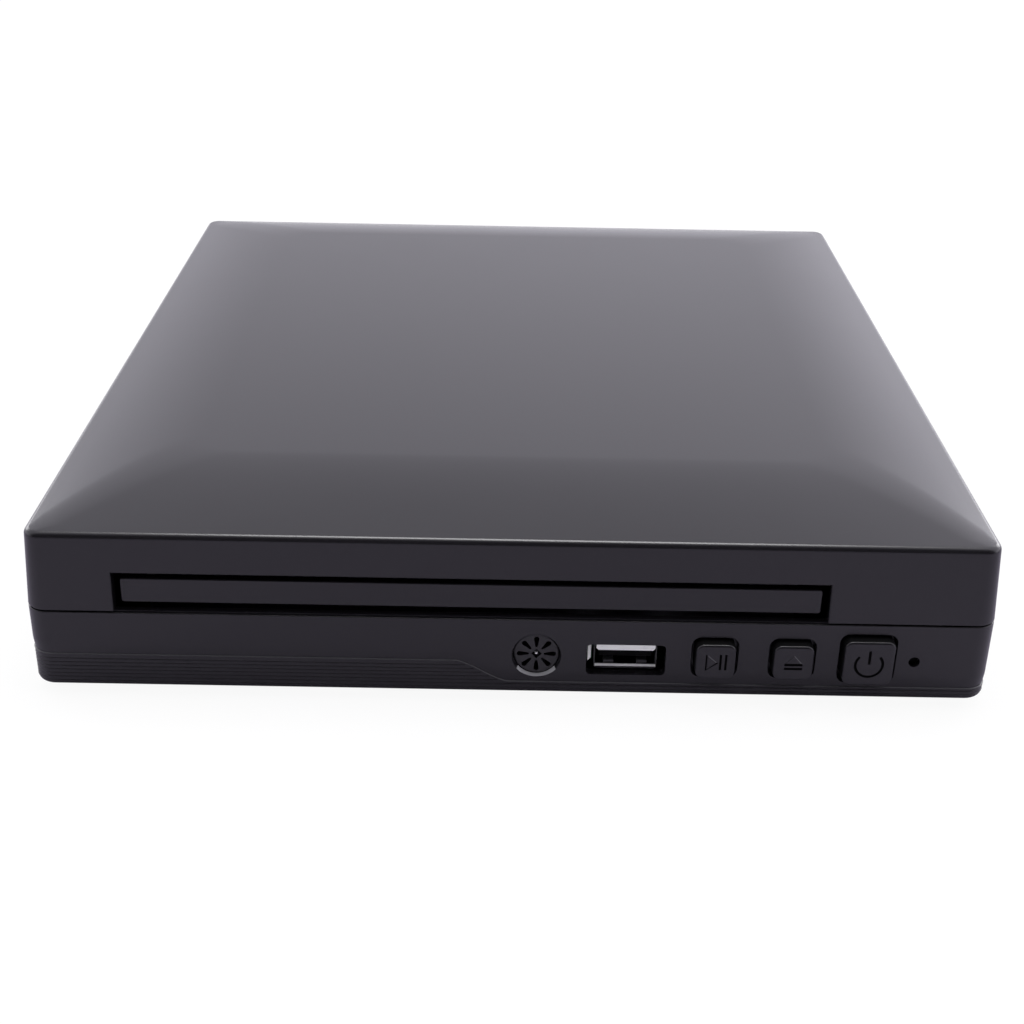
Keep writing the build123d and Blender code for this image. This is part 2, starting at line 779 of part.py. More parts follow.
with BuildPart() as loader_chassis:
    with BuildSketch(flat(chassis_plate_z)):
        with Locations((slot_x, chassis_middle_y)):
            Rectangle(2 * chassis_outer, chassis_length)
        with Locations(*chassis_screw_spots):
            Rectangle(2 * (chassis_flange - chassis_screw_x) + 3.0, chassis_tab_length)
    extrude(amount=chassis_plate)
    with BuildSketch(flat(plate_top)):
        for side in (-1, 1):
            with Locations((slot_x + side * (chassis_inner + chassis_wall / 2), chassis_middle_y)):
                Rectangle(chassis_wall, chassis_length)
            with Locations((slot_x + side * bridge_post_x, spindle_y)):
                Circle(bridge_post_radius)
    extrude(amount=chassis_top - plate_top)
    with BuildSketch(flat(plate_top)):
        with Locations((slot_x, chassis_rear - chassis_wall / 2)):
            Rectangle(2 * chassis_outer, chassis_wall)
    extrude(amount=ledge_top - plate_top)
    # ledges under the tray's edges and hold-down tabs over them
    with BuildSketch(flat(ledge_top - ledge_thickness)):
        for side in (-1, 1):
            with Locations((slot_x + side * (ledge_inner + chassis_inner) / 2, chassis_middle_y)):
                Rectangle(chassis_inner - ledge_inner, chassis_length)
    extrude(amount=ledge_thickness)
    with BuildSketch(flat(hold_down_bottom)):
        for side in (-1, 1):
            for setback in hold_down_setbacks:
                with Locations((slot_x + side * (chassis_inner - hold_down_reach / 2), from_front(setback))):
                    Rectangle(hold_down_reach, hold_down_length)
    extrude(amount=hold_down_thickness)
    # the big opening that the traverse hangs in, and its hinge blocks
    with BuildSketch(flat(chassis_plate_z)):
        with Locations((slot_x, (opening_front + opening_rear) / 2)):
            Rectangle(2 * opening_half, opening_rear - opening_front)
    extrude(amount=chassis_plate, mode=Mode.SUBTRACT)
    with BuildSketch(flat(chassis_plate_z - 2.0)):
        for side in (-1, 1):
            with Locations((slot_x + side * (opening_half + hinge_block_width / 2), hinge_y)):
                Rectangle(hinge_block_width, hinge_block_length)
    extrude(amount=hinge_block_top - chassis_plate_z + 2.0)
    with BuildSketch(Plane.YZ.offset(slot_x - opening_half - hinge_block_width)):
        with Locations((hinge_y, rod_z)):
            Circle(hinge_pin_radius + running_gap)
    extrude(amount=2 * (opening_half + hinge_block_width), mode=Mode.SUBTRACT)
    # posts that the two gears turn on
    with BuildSketch(flat(plate_top)):
        with Locations((tray_gear_x, gear_y), (pulley_gear_x, gear_y)):
            Circle(gear_post_radius)
    extrude(amount=gear_top - plate_top)
    # holes for the motor's boss and for the screws
    with BuildSketch(flat(chassis_plate_z)):
        with Locations((motor_x, gear_y)):
            Circle(motor_boss_radius + running_gap)
        with Locations(*chassis_screw_spots):
            Circle(case_screw_radius + running_gap)
    extrude(amount=chassis_plate, mode=Mode.SUBTRACT)
    with BuildSketch(flat(chassis_top)):
        for side in (-1, 1):
            with Locations((slot_x + side * bridge_post_x, spindle_y)):
                Circle(bridge_screw_radius + running_gap)
    extrude(amount=-6.0, mode=Mode.SUBTRACT)
loader_chassis.part.label = "loader_chassis"
export_step(loader_chassis.part, "parts/loader_chassis.step")

loader_screw_head_radius = 2.6
loader_screw_head_height = 1.6
with BuildPart() as loader_screws:
    with BuildSketch(flat(plate_top)):
        with Locations(*chassis_screw_spots):
            Circle(loader_screw_head_radius)
    extrude(amount=loader_screw_head_height)
    with BuildSketch(flat(plate_top)):
        with Locations(*chassis_screw_spots):
            Circle(case_screw_radius)
    extrude(amount=-(chassis_plate + case_screw_depth - 1.0))
loader_screws.part.label = "loader_screws"
export_step(loader_screws.part, "parts/loader_screws.step")

# ----------------------------------------------- clamper bridge and the clamper
bridge_sheet = 0.8
bridge_width = 27.0
bridge_half = bridge_post_x + bridge_post_radius
clamper_hub_radius = 8.8
clamper_hub_gap = 0.6
clamper_radius = 13.5
clamper_flange_radius = 11.5
clamper_bottom = 27.7
clamper_flange_thickness = 1.0
axial_gap = 0.4

with BuildPart() as clamper_bridge:
    with BuildSketch(flat(chassis_top)):
        with Locations((slot_x, spindle_y)):
            Rectangle(2 * bridge_half, bridge_width)
            Circle(clamper_hub_radius + clamper_hub_gap, mode=Mode.SUBTRACT)
        for side in (-1, 1):
            with Locations((slot_x + side * bridge_post_x, spindle_y)):
                Circle(bridge_screw_radius + running_gap, mode=Mode.SUBTRACT)
    extrude(amount=bridge_sheet)
    with BuildSketch(flat(chassis_top + bridge_sheet)):
        for side in (-1, 1):
            with Locations((slot_x, spindle_y + side * (bridge_width - bridge_sheet) / 2)):
                Rectangle(2 * (chassis_outer - 2), bridge_sheet)
    extrude(amount=2.0)
clamper_bridge.part.label = "clamper_bridge"
export_step(clamper_bridge.part, "parts/clamper_bridge.step")

with BuildPart() as bridge_screws:
    with BuildSketch(flat(chassis_top + bridge_sheet)):
        for side in (-1, 1):
            with Locations((slot_x + side * bridge_post_x, spindle_y)):
                Circle(loader_screw_head_radius)
    extrude(amount=1.4)
    with BuildSketch(flat(chassis_top + bridge_sheet)):
        for side in (-1, 1):
            with Locations((slot_x + side * bridge_post_x, spindle_y)):
                Circle(bridge_screw_radius)
    extrude(amount=-5.5)
bridge_screws.part.label = "bridge_screws"
export_step(bridge_screws.part, "parts/bridge_screws.step")

with BuildPart() as clamper:
    with BuildSketch(flat(clamper_bottom, slot_x, spindle_y)):
        Circle(clamper_radius)
    extrude(amount=chassis_top - axial_gap - clamper_bottom)
    with BuildSketch(flat(clamper_bottom, slot_x, spindle_y)):
        Circle(clamper_hub_radius)
    extrude(amount=chassis_top + bridge_sheet + axial_gap - clamper_bottom)
    with BuildSketch(flat(chassis_top + bridge_sheet + axial_gap, slot_x, spindle_y)):
        Circle(clamper_flange_radius)
    extrude(amount=clamper_flange_thickness)
    with BuildSketch(flat(clamper_bottom, slot_x, spindle_y)):
        Circle(clamper_hub_radius)
    extrude(amount=0.8, mode=Mode.SUBTRACT)
clamper.part.label = "clamper"
export_step(clamper.part, "parts/clamper.step")

# ---------------------------------------------------------------- tray and door
tray_corner = 3.0
notch_length = 40.0
notch_width = 8.0
rack_backing = 3.2
rack_height = tray_bottom - tray_gear_bottom
tooth_addendum = 0.8 * gear_module
tooth_dedendum = 1.1 * gear_module
tooth_slack = 0.18
tooth_flank = tan(radians(20))
tooth_half = pi * gear_module / 4 - tooth_slack
rack_front = from_front(16.0)
rack_teeth = 46


def tooth(pitch_radius):
    """Outline of one straight-flanked tooth that points along +X from the pitch circle."""
    root = pitch_radius - tooth_dedendum - 0.2 * gear_module
    root_half = tooth_half + (pitch_radius - root) * tooth_flank
    tip_half = tooth_half - tooth_addendum * tooth_flank
    tip = pitch_radius + tooth_addendum
    return [(root, -root_half), (tip, -tip_half), (tip, tip_half), (root, root_half)]


with BuildPart() as disc_tray:
    with BuildSketch(flat(tray_bottom, slot_x, (tray_front + tray_rear) / 2)):
        RectangleRounded(tray_width, tray_length, tray_corner)
    extrude(amount=tray_thickness)
    with BuildSketch(flat(tray_top, slot_x, spindle_y)):
        Circle(disc_diameter / 2 + recess_clearance)
    extrude(amount=-disc_recess_depth, mode=Mode.SUBTRACT)
    with BuildSketch(flat(tray_top, slot_x, spindle_y)):
        Circle(small_disc_diameter / 2 + recess_clearance)
    extrude(amount=-(disc_recess_depth + small_recess_depth), mode=Mode.SUBTRACT)
    # the window for the turntable and the lens, open at the tray's rear
    with BuildSketch(flat(tray_bottom, slot_x, spindle_y)):
        Circle(window_width / 2)
        with Locations((0, (tray_rear - spindle_y) / 2)):
            Rectangle(window_width, tray_rear - spindle_y)
    extrude(amount=tray_thickness, mode=Mode.SUBTRACT)
    # finger notches either side of the disc
    with BuildSketch(flat(tray_top, slot_x, spindle_y)):
        with Locations((-disc_diameter / 2, 0), (disc_diameter / 2, 0)):
            SlotOverall(notch_length, notch_width, rotation=90)
    extrude(amount=-disc_recess_depth, mode=Mode.SUBTRACT)
    # the rack under the left edge
    with BuildSketch(flat(tray_gear_bottom)):
        with Locations((rack_line_x - tooth_dedendum - rack_backing / 2, (rack_front + tray_rear) / 2)):
            Rectangle(rack_backing, tray_rear - rack_front)
        with Locations(*[(rack_line_x, gear_y + (k - 2.5) * rack_step) for k in range(rack_teeth)]):
            Polygon(*tooth(0), align=None)
    extrude(amount=rack_height)
disc_tray.part.label = "disc_tray"
export_step(disc_tray.part, "parts/disc_tray.step")

with BuildPart() as tray_door:
    with BuildSketch(upright(from_front(door_setback))):
        with Locations((slot_x, door_bottom + door_height / 2)):
            RectangleRounded(door_width, door_height, 0.6)
    extrude(amount=-door_thickness)
tray_door.part.label = "tray_door"
export_step(tray_door.part, "parts/tray_door.step")

# -------------------------------------------------------- gears, pulleys, belt
pulley_radius = 12.2
pulley_groove = 11.2
pulley_height = 1.6
pulley_flange = 0.35
motor_pulley_radius = 4.2
motor_pulley_groove = 3.2
belt_side = 0.8
tray_gear_pitch = gear_module * tray_gear_teeth / 2
pulley_gear_pitch = gear_module * pulley_gear_teeth / 2
hub_radius = 3.0

with BuildPart() as tray_gear:
    with BuildSketch(flat(tray_gear_bottom, tray_gear_x, gear_y)):
        Circle(tray_gear_pitch - tooth_dedendum)
        with PolarLocations(0, tray_gear_teeth):
            Polygon(*tooth(tray_gear_pitch), align=None)
    extrude(amount=gear_top - tray_gear_bottom)
    with BuildSketch(flat(gear_level, tray_gear_x, gear_y)):
        Circle(hub_radius)
    extrude(amount=tray_gear_bottom - gear_level)
    with BuildSketch(flat(gear_level, tray_gear_x, gear_y)):
        Circle(gear_post_radius + running_gap)
    extrude(amount=gear_top - gear_level, mode=Mode.SUBTRACT)
tray_gear.part.label = "tray_gear"
export_step(tray_gear.part, "parts/tray_gear.step")

with BuildPart() as pulley_gear:
    with BuildSketch(flat(gear_level, pulley_gear_x, gear_y)):
        Circle(pulley_radius)
    extrude(amount=pulley_height)
    with BuildSketch(flat(gear_level + pulley_flange, pulley_gear_x, gear_y)):
        Circle(pulley_radius + 1)
        Circle(pulley_groove, mode=Mode.SUBTRACT)
    extrude(amount=pulley_height - 2 * pulley_flange, mode=Mode.SUBTRACT)
    with BuildSketch(flat(gear_level + pulley_height, pulley_gear_x, gear_y)):
        Circle(pulley_gear_pitch - tooth_dedendum)
        with PolarLocations(0, pulley_gear_teeth, start_angle=180 / pulley_gear_teeth):
            Polygon(*tooth(pulley_gear_pitch), align=None)
    extrude(amount=gear_top - gear_level - pulley_height)
    with BuildSketch(flat(gear_level, pulley_gear_x, gear_y)):
        Circle(gear_post_radius + running_gap)
    extrude(amount=gear_top - gear_level, mode=Mode.SUBTRACT)
pulley_gear.part.label = "pulley_gear"
export_step(pulley_gear.part, "parts/pulley_gear.step")

motor_height = 11.0
motor_shaft_radius = 1.0
motor_shaft_depth = 5.0
motor_boss_height = 1.4

with BuildPart() as motor_pulley:
    with BuildSketch(flat(gear_level, motor_x, gear_y)):
        Circle(motor_pulley_radius)
    extrude(amount=pulley_height)
    with BuildSketch(flat(gear_level + pulley_flange, motor_x, gear_y)):
        Circle(motor_pulley_radius + 1)
        Circle(motor_pulley_groove, mode=Mode.SUBTRACT)
    extrude(amount=pulley_height - 2 * pulley_flange, mode=Mode.SUBTRACT)
    with BuildSketch(flat(gear_level, motor_x, gear_y)):
        Circle(motor_shaft_radius)
    extrude(amount=-motor_shaft_depth)
motor_pulley.part.label = "motor_pulley"
export_step(motor_pulley.part, "parts/motor_pulley.step")

with BuildPart() as loading_motor:
    with BuildSketch(flat(chassis_plate_z, motor_x, gear_y)):
        Circle(motor_radius)
    extrude(amount=-motor_height)
    fillet(loading_motor.faces().sort_by(Axis.Z)[0].edges(), 0.8)
    with BuildSketch(flat(chassis_plate_z, motor_x, gear_y)):
        Circle(motor_boss_radius)
    extrude(amount=motor_boss_height)
    with BuildSketch(flat(chassis_plate_z + motor_boss_height, motor_x, gear_y)):
        Circle(motor_shaft_radius + running_gap)
    extrude(amount=-(motor_shaft_depth + 1.0), mode=Mode.SUBTRACT)
loading_motor.part.label = "loading_motor"
export_step(loading_motor.part, "parts/loading_motor.step")

with BuildPart() as drive_belt:
    with BuildSketch(flat(gear_level + (pulley_height - belt_side) / 2)) as belt_outline:
        with Locations((pulley_gear_x, gear_y)):
            Circle(pulley_groove + running_gap + belt_side)
        with Locations((motor_x, gear_y)):
            Circle(motor_pulley_groove + running_gap + belt_side)
        make_hull()
        offset(belt_outline.face(), amount=-belt_side, mode=Mode.SUBTRACT)
    extrude(amount=belt_side)
drive_belt.part.label = "drive_belt"
export_step(drive_belt.part, "parts/drive_belt.step")

# ------------------------------------------ traverse: frame, hinge and its peg
traverse_half = 46.6
traverse_front = from_front(48.0)
traverse_rear = hinge_y + 3.0
traverse_bottom = 14.6
traverse_height = 4.2
traverse_bar = 8.0
traverse_rear_bar_front = hinge_y - 10.0
cross_bar_front = from_front(84.0)
cross_bar_depth = 4.0
frame_opening_left = slot_x - 30.0
frame_opening_right = slot_x + 38.0
frame_opening_x = (frame_opening_left + frame_opening_right) / 2
frame_opening_width = frame_opening_right - frame_opening_left
spindle_plate_half = 20.0
spindle_motor_radius = 12.0
spindle_boss_radius = 9.8
rod_radius = 1.5
rod_half_spacing = 24.0
screw_x = slot_x + 31.0
screw_radius = 1.5
peg_x = slot_x + 8.0
peg_radius = 1.5
peg_gap = 0.5
cam_front = opening_front + 0.4
cam_back = cam_front + 4.2
peg_tip = cam_front + 0.6
hinge_pin_reach = hinge_block_width - 0.8

with BuildPart() as traverse_frame:
    with BuildSketch(flat(traverse_bottom)):
        with Locations((slot_x, (traverse_front + traverse_rear) / 2)):
            RectangleRounded(2 * traverse_half, traverse_rear - traverse_front, 3.0)
        with Locations((frame_opening_x, (traverse_front + traverse_bar + traverse_rear_bar_front) / 2)):
            Rectangle(
                frame_opening_width,
                traverse_rear_bar_front - traverse_front - traverse_bar,
                mode=Mode.SUBTRACT,
            )
        with Locations((frame_opening_x, cross_bar_front + cross_bar_depth / 2)):
            Rectangle(frame_opening_width, cross_bar_depth)
        with Locations((slot_x, (traverse_front + traverse_bar + cross_bar_front) / 2)):
            Rectangle(2 * spindle_plate_half, cross_bar_front - traverse_front - traverse_bar)
        with Locations((slot_x, spindle_y)):
            Circle(spindle_boss_radius + running_gap, mode=Mode.SUBTRACT)
    extrude(amount=traverse_height)
    with BuildSketch(upright(cross_bar_front)):
        for side in (-1, 1):
            with Locations((slot_x + side * rod_half_spacing, rod_z)):
                Circle(rod_radius + running_gap / 2)
        with Locations((screw_x, rod_z)):
            Circle(screw_radius + running_gap)
    extrude(amount=-(traverse_rear_bar_front - cross_bar_front + 4.0), mode=Mode.SUBTRACT)
    with BuildSketch(Plane.YZ.offset(slot_x - traverse_half - hinge_pin_reach)):
        with Locations((hinge_y, rod_z)):
            Circle(hinge_pin_radius)
    extrude(amount=hinge_pin_reach + 2.0)
    with BuildSketch(Plane.YZ.offset(slot_x + traverse_half + hinge_pin_reach)):
        with Locations((hinge_y, rod_z)):
            Circle(hinge_pin_radius)
    extrude(amount=-(hinge_pin_reach + 2.0))
    with BuildSketch(upright(peg_tip)):
        with Locations((peg_x, rod_z)):
            Circle(peg_radius)
    extrude(amount=-(traverse_front - peg_tip + 1.0))
traverse_frame.part.label = "traverse_frame"
export_step(traverse_frame.part, "parts/traverse_frame.step")

# the cam slider: a sloped slot that lowers the traverse's peg as it moves to +X
peg_arm = hinge_y - (cam_front + cam_back) / 2
spindle_arm = hinge_y - spindle_y
peg_drop = traverse_drop * peg_arm / spindle_arm
cam_wall = 2.2
cam_bottom = rod_z - peg_drop - peg_radius - peg_gap - cam_wall
cam_top = rod_z + peg_radius + peg_gap + cam_wall
cam_left = peg_x - cam_travel - peg_radius - peg_gap - cam_wall
cam_right = peg_x + peg_radius + peg_gap + cam_wall
cam_hook_front = cam_front - 3.4
cam_hook_thickness = 1.4

with BuildPart() as cam_slider:
    with BuildSketch(upright(cam_front)):
        with Locations(((cam_left + cam_right) / 2, (cam_bottom + cam_top) / 2)):
            Rectangle(cam_right - cam_left, cam_top - cam_bottom)
        SlotCenterPoint(
            (peg_x - cam_travel / 2, rod_z - peg_drop / 2),
            (peg_x, rod_z),
            2 * (peg_radius + peg_gap),
            mode=Mode.SUBTRACT,
        )
    extrude(amount=-(cam_back - cam_front))
    with BuildSketch(flat(plate_top + fit_gap)):
        with Locations(((cam_left + cam_right) / 2, (cam_hook_front + cam_front) / 2)):
            Rectangle(cam_right - cam_left, cam_front - cam_hook_front)
    extrude(amount=cam_hook_thickness)
cam_slider.part.label = "cam_slider"
export_step(cam_slider.part, "parts/cam_slider.step")

# ----------------------------------------------- spindle motor and turntable
platter_radius = 13.5
platter_top = disc_floor + 0.5
platter_bottom = tray_bottom - 0.2
cone_radius = 7.3
cone_height = 1.9
shaft_radius = 1.0
spindle_motor_top = platter_bottom - 0.9
spindle_motor_bottom = 13.4

with BuildPart() as spindle_motor:
    with BuildSketch(flat(traverse_bottom + traverse_height, slot_x, spindle_y)):
        Circle(spindle_motor_radius)
    extrude(amount=spindle_motor_top - traverse_bottom - traverse_height)
    fillet(spindle_motor.faces().sort_by(Axis.Z)[-1].edges(), 0.5)
    with BuildSketch(flat(spindle_motor_bottom, slot_x, spindle_y)):
        Circle(spindle_boss_radius)
    extrude(amount=traverse_bottom + traverse_height - spindle_motor_bottom)
    with BuildSketch(flat(spindle_motor_top, slot_x, spindle_y)):
        Circle(shaft_radius + running_gap)
    extrude(amount=-6.0, mode=Mode.SUBTRACT)
spindle_motor.part.label = "spindle_motor"
export_step(spindle_motor.part, "parts/spindle_motor.step")

with BuildPart() as turntable:
    with BuildSketch(flat(platter_bottom, slot_x, spindle_y)):
        Circle(platter_radius)
    extrude(amount=platter_top - platter_bottom)
    with BuildSketch(flat(platter_top, slot_x, spindle_y)):
        Circle(platter_radius - 3.0)
        Circle(cone_radius + 0.4, mode=Mode.SUBTRACT)
    extrude(amount=-0.6, mode=Mode.SUBTRACT)
    with BuildSketch(flat(platter_top, slot_x, spindle_y)):
        Circle(cone_radius)
    extrude(amount=cone_height, taper=35)
    with BuildSketch(flat(platter_bottom, slot_x, spindle_y)):
        Circle(shaft_radius)
    extrude(amount=-5.5)
turntable.part.label = "turntable"
export_step(turntable.part, "parts/turntable.step")

# ------------------------------------ pickup sled, rods, lead screw and motor
with BuildPart() as guide_rods:
    with BuildSketch(upright(cross_bar_front)):
        for side in (-1, 1):
            with Locations((slot_x + side * rod_half_spacing, rod_z)):
                Circle(rod_radius)
    extrude(amount=-(traverse_rear_bar_front - cross_bar_front + 3.6))
guide_rods.part.label = "guide_rods"
export_step(guide_rods.part, "parts/guide_rods.step")

sled_motor_radius = 5.0
sled_motor_length = 14.0
with BuildPart() as sled_motor:
    with BuildSketch(upright(cross_bar_front)):
        with Locations((screw_x, rod_z)):
            Circle(sled_motor_radius)
    extrude(amount=sled_motor_length)
    fillet(sled_motor.faces().sort_by(Axis.Y)[0].edges(), 0.6)
    with BuildSketch(upright(cross_bar_front)):
        with Locations((screw_x, rod_z)):
            Circle(screw_radius + running_gap)
    extrude(amount=3.0, mode=Mode.SUBTRACT)
sled_motor.part.label = "sled_motor"
export_step(sled_motor.part, "parts/sled_motor.step")

with BuildPart() as lead_screw:
    with BuildSketch(upright(cross_bar_front - 2.5)):
        with Locations((screw_x, rod_z)):
            Circle(screw_radius)
    extrude(amount=-(traverse_rear_bar_front - cross_bar_front + 2.5 + 3.6))
lead_screw.part.label = "lead_screw"
export_step(lead_screw.part, "parts/lead_screw.step")

sled_front = cross_bar_front + cross_bar_depth + 2.0
sled_depth = 26.0
sled_half = 28.0
sled_bottom = 13.8
sled_top = 20.4
nut_setback = 6.0
nut_depth = 6.0
nut_reach = 3.4
lens_setback = 5.0
lens_holder_width = 15.0
lens_holder_depth = 9.0
lens_holder_top = tray_bottom - 0.3
lens_radius = 3.2
lens_height = 0.9

with BuildPart() as pickup_sled:
    with BuildSketch(flat(sled_bottom)):
        with Locations((slot_x, sled_front + sled_depth / 2)):
            RectangleRounded(2 * sled_half, sled_depth, 2.0)
        with Locations((slot_x + sled_half, sled_front + nut_setback + nut_depth / 2)):
            Rectangle(2 * (screw_x - slot_x - sled_half + nut_reach), nut_depth)
    extrude(amount=sled_top - sled_bottom)
    with BuildSketch(flat(sled_top)):
        with Locations((slot_x, sled_front + lens_setback + 0.5)):
            RectangleRounded(lens_holder_width, lens_holder_depth, 1.0)
    extrude(amount=lens_holder_top - sled_top)
    with BuildSketch(upright(sled_front)):
        for side in (-1, 1):
            with Locations((slot_x + side * rod_half_spacing, rod_z)):
                Circle(rod_radius + running_gap)
        with Locations((screw_x, rod_z)):
            Circle(screw_radius + running_gap)
    extrude(amount=-sled_depth, mode=Mode.SUBTRACT)
pickup_sled.part.label = "pickup_sled"
export_step(pickup_sled.part, "parts/pickup_sled.step")

with BuildPart() as pickup_lens:
    with BuildSketch(flat(lens_holder_top, slot_x, sled_front + lens_setback)):
        Circle(lens_radius)
    extrude(amount=lens_height)
    fillet(pickup_lens.faces().sort_by(Axis.Z)[-1].edges(), 0.5)
pickup_lens.part.label = "pickup_lens"
export_step(pickup_lens.part, "parts/pickup_lens.step")

tilt = traverse_drop / spindle_arm
print("tray travel", round(tray_travel, 3), "spindle", slot_x, round(spindle_y, 3), "hinge", round(hinge_y, 3))
print("traverse tilt, radians", round(tilt, 6), "peg drop", round(peg_drop, 3))
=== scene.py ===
import json
import math
import bpy
import numpy as np
from mathutils import Matrix, Vector


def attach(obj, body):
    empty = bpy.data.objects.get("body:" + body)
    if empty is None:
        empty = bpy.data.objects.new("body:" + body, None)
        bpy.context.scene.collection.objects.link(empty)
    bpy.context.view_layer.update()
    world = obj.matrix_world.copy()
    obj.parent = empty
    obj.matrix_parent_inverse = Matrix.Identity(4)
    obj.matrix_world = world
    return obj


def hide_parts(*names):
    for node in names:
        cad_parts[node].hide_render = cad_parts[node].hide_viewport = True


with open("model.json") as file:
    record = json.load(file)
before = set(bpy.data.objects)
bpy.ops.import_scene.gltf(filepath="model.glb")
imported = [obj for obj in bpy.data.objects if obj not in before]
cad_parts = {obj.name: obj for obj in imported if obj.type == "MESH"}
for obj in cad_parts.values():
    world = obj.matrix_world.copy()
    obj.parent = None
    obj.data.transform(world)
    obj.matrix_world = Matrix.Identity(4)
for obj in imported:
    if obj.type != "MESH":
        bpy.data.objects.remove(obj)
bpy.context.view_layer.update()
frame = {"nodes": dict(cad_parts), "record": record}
nodes = frame["nodes"]
millimetre = 0.001
print("frame loaded:", len(nodes), "nodes")

# pieces are in millimetres up to meshFrom; the stage is in metres
case = {
    "width": 198, "depth": 217, "frontY": -111.75, "rearY": 105.25,
    "footHeight": 2, "floorTop": 4, "partingZ": 20, "rimZ": 37.2, "crown": 2.8,
    "draft": 1, "rimRound": 1.45, "corner": 4.5, "flatCorner": 9,
    "wall": 2.2, "roof": 2, "frontBevel": 32.5, "sideBevel": 28, "backBevel": 20,
    "frontPower": 1.5, "sidePower": 2,
}
frontY = case["frontY"]
centreY = (frontY + case["rearY"]) / 2
caseHalf = (case["width"] / 2, case["depth"] / 2)


# shapes: a solid is a grid of points with the faces that join them

def stack(rings, closed=False):
    # a solid from rings, rows x columns x 3: each ring closes up, and the rows either close
    # up too or end in two caps
    rings = np.asarray(rings, float)
    rows, columns = rings.shape[:2]
    row, column = np.arange(rows if closed else rows - 1)[:, None], np.arange(columns)
    here, after, nextColumn = row * columns, (row + 1) % rows * columns, (column + 1) % columns
    quads = np.stack([here + column, after + column, after + nextColumn, here + nextColumn], -1)
    faces = quads.reshape(-1, 4).tolist()
    if not closed:
        faces.append(list(range(columns)))
        faces.append(list(range(rows * columns - 1, (rows - 1) * columns - 1, -1)))
    return rings, faces


def loopColumns(cornerSteps, alongX=(), alongY=()):
    # a rounded rectangle's columns, anticlockwise from the front left: the share of the way
    # to the corner centre (cx, cy), and the unit direction out of it (ux, uy)
    sides = ((alongX, -1, 0, -1), (1, alongY, 1, 0), (alongX[::-1], 1, 0, 1), (-1, alongY[::-1], -1, 0))
    corners = ((1, -1, -90), (1, 1, 0), (-1, 1, 90), (-1, -1, 180))
    parts = []
    for side, (cx, cy, start) in zip(sides, corners):
        turn = np.radians(start + np.linspace(0, 90, cornerSteps + 1))
        parts.append(np.stack(np.broadcast_arrays(*side)))
        parts.append(np.stack(np.broadcast_arrays(cx, cy, np.cos(turn), np.sin(turn))))
    return np.concatenate(parts, 1)


def sweep(start, end, count):
    return np.radians(np.linspace(start, end, count))


def alongSide(count):
    # even shares along a straight side, short of its corners
    return np.linspace(-0.96, 0.96, count)


def roundedRings(columns, halfWidth, halfDepth, radius):
    # rings of rounded rectangles: corner centre plus radius times direction, rows x columns
    cx, cy, ux, uy = columns
    halfWidth, halfDepth, radius = (np.reshape(size, (-1, 1)) for size in (halfWidth, halfDepth, radius))
    return cx * (halfWidth - radius) + ux * radius, cy * (halfDepth - radius) + uy * radius


def outlineOf(width, height, radius, cornerSteps=6):
    # columns and half sizes of a small rounded rectangle, seen along its own axis
    return loopColumns(cornerSteps), width / 2, height / 2, radius


def circleOf(radius, count=48):
    # the same for a circle
    turn = np.linspace(0, 2 * math.pi, count, endpoint=False)
    zero = np.zeros_like(turn)
    return np.stack([zero, zero, np.cos(turn), np.sin(turn)]), radius, radius, radius


# across, up and outward axes of a piece seen from each side
sideAxes = {
    "front": ((1, 0, 0), (0, 0, 1), (0, -1, 0)), "rear": ((-1, 0, 0), (0, 0, 1), (0, 1, 0)),
    "above": ((1, 0, 0), (0, 1, 0), (0, 0, 1)), "below": ((-1, 0, 0), (0, 1, 0), (0, 0, -1)),
}


def seenFrom(origin, across, up, depth, side="front"):
    # points from distances across and up as seen from a side, and a depth away from the eye
    across, up, depth = (values[..., None] for values in np.broadcast_arrays(across, up, depth))
    alongX, alongY, outward = sideAxes[side]
    return origin + across * alongX + up * alongY - depth * outward


def plug(origin, outline, profile, side="front"):
    # an outline carried along (inset, depth) rows: it shrinks by the inset as it goes deeper
    columns, *sizes = outline
    inset, depth = np.transpose(profile)
    smallest = 0.02
    across, up = roundedRings(columns, *(np.maximum(size - inset, smallest) for size in sizes))
    return stack(seenFrom(origin, across, up, depth[:, None], side))


def lathe(origin, profile, count=48, side="front"):
    # a profile of (radius, depth) rows turned round an axis that leaves the surface
    radius, depth = np.transpose(profile)[..., None]
    turn = np.linspace(0, 2 * math.pi, count, endpoint=False)
    return stack(seenFrom(origin, radius * np.cos(turn), radius * np.sin(turn), depth, side))


def prism(origin, corners, depths, side="front"):
    # a flat outline, anticlockwise, carried straight from one depth to the other
    across, up = np.transpose(corners)
    return stack([seenFrom(origin, across, up, depth, side) for depth in depths])


def rectangle(x, y, width, height):
    # corners about (x, y), anticlockwise
    return [(x + sx * width / 2, y + sy * height / 2) for sx, sy in ((-1, -1), (1, -1), (1, 1), (-1, 1))]


def roundedFace(radius, steps, margin, straight):
    # (inset, depth) rows of a face: a flat margin, a quarter round, then a short straight
    turn = np.linspace(0, math.pi / 2, steps + 1)
    quarter = np.stack([radius * (1 - np.sin(turn)), radius * (1 - np.cos(turn))], 1)
    return [(radius + margin, 0), *quarter, (0, radius + straight)]


def meshFrom(name, solids):
    points, faces, start = [], [], 0
    for grid, gridFaces in solids:
        points.append(np.reshape(grid, (-1, 3)))
        faces += [[start + k for k in face] for face in gridFaces]
        start += len(points[-1])
    mesh = bpy.data.meshes.new(name)
    mesh.from_pydata((np.concatenate(points) * millimetre).tolist(), [], faces)
    mesh.update()
    return mesh


def newObject(name, data):
    thing = bpy.data.objects.new(name, data)
    bpy.context.scene.collection.objects.link(thing)
    return thing


def newPiece(name, solids):
    return newObject(name, meshFrom(name, solids))


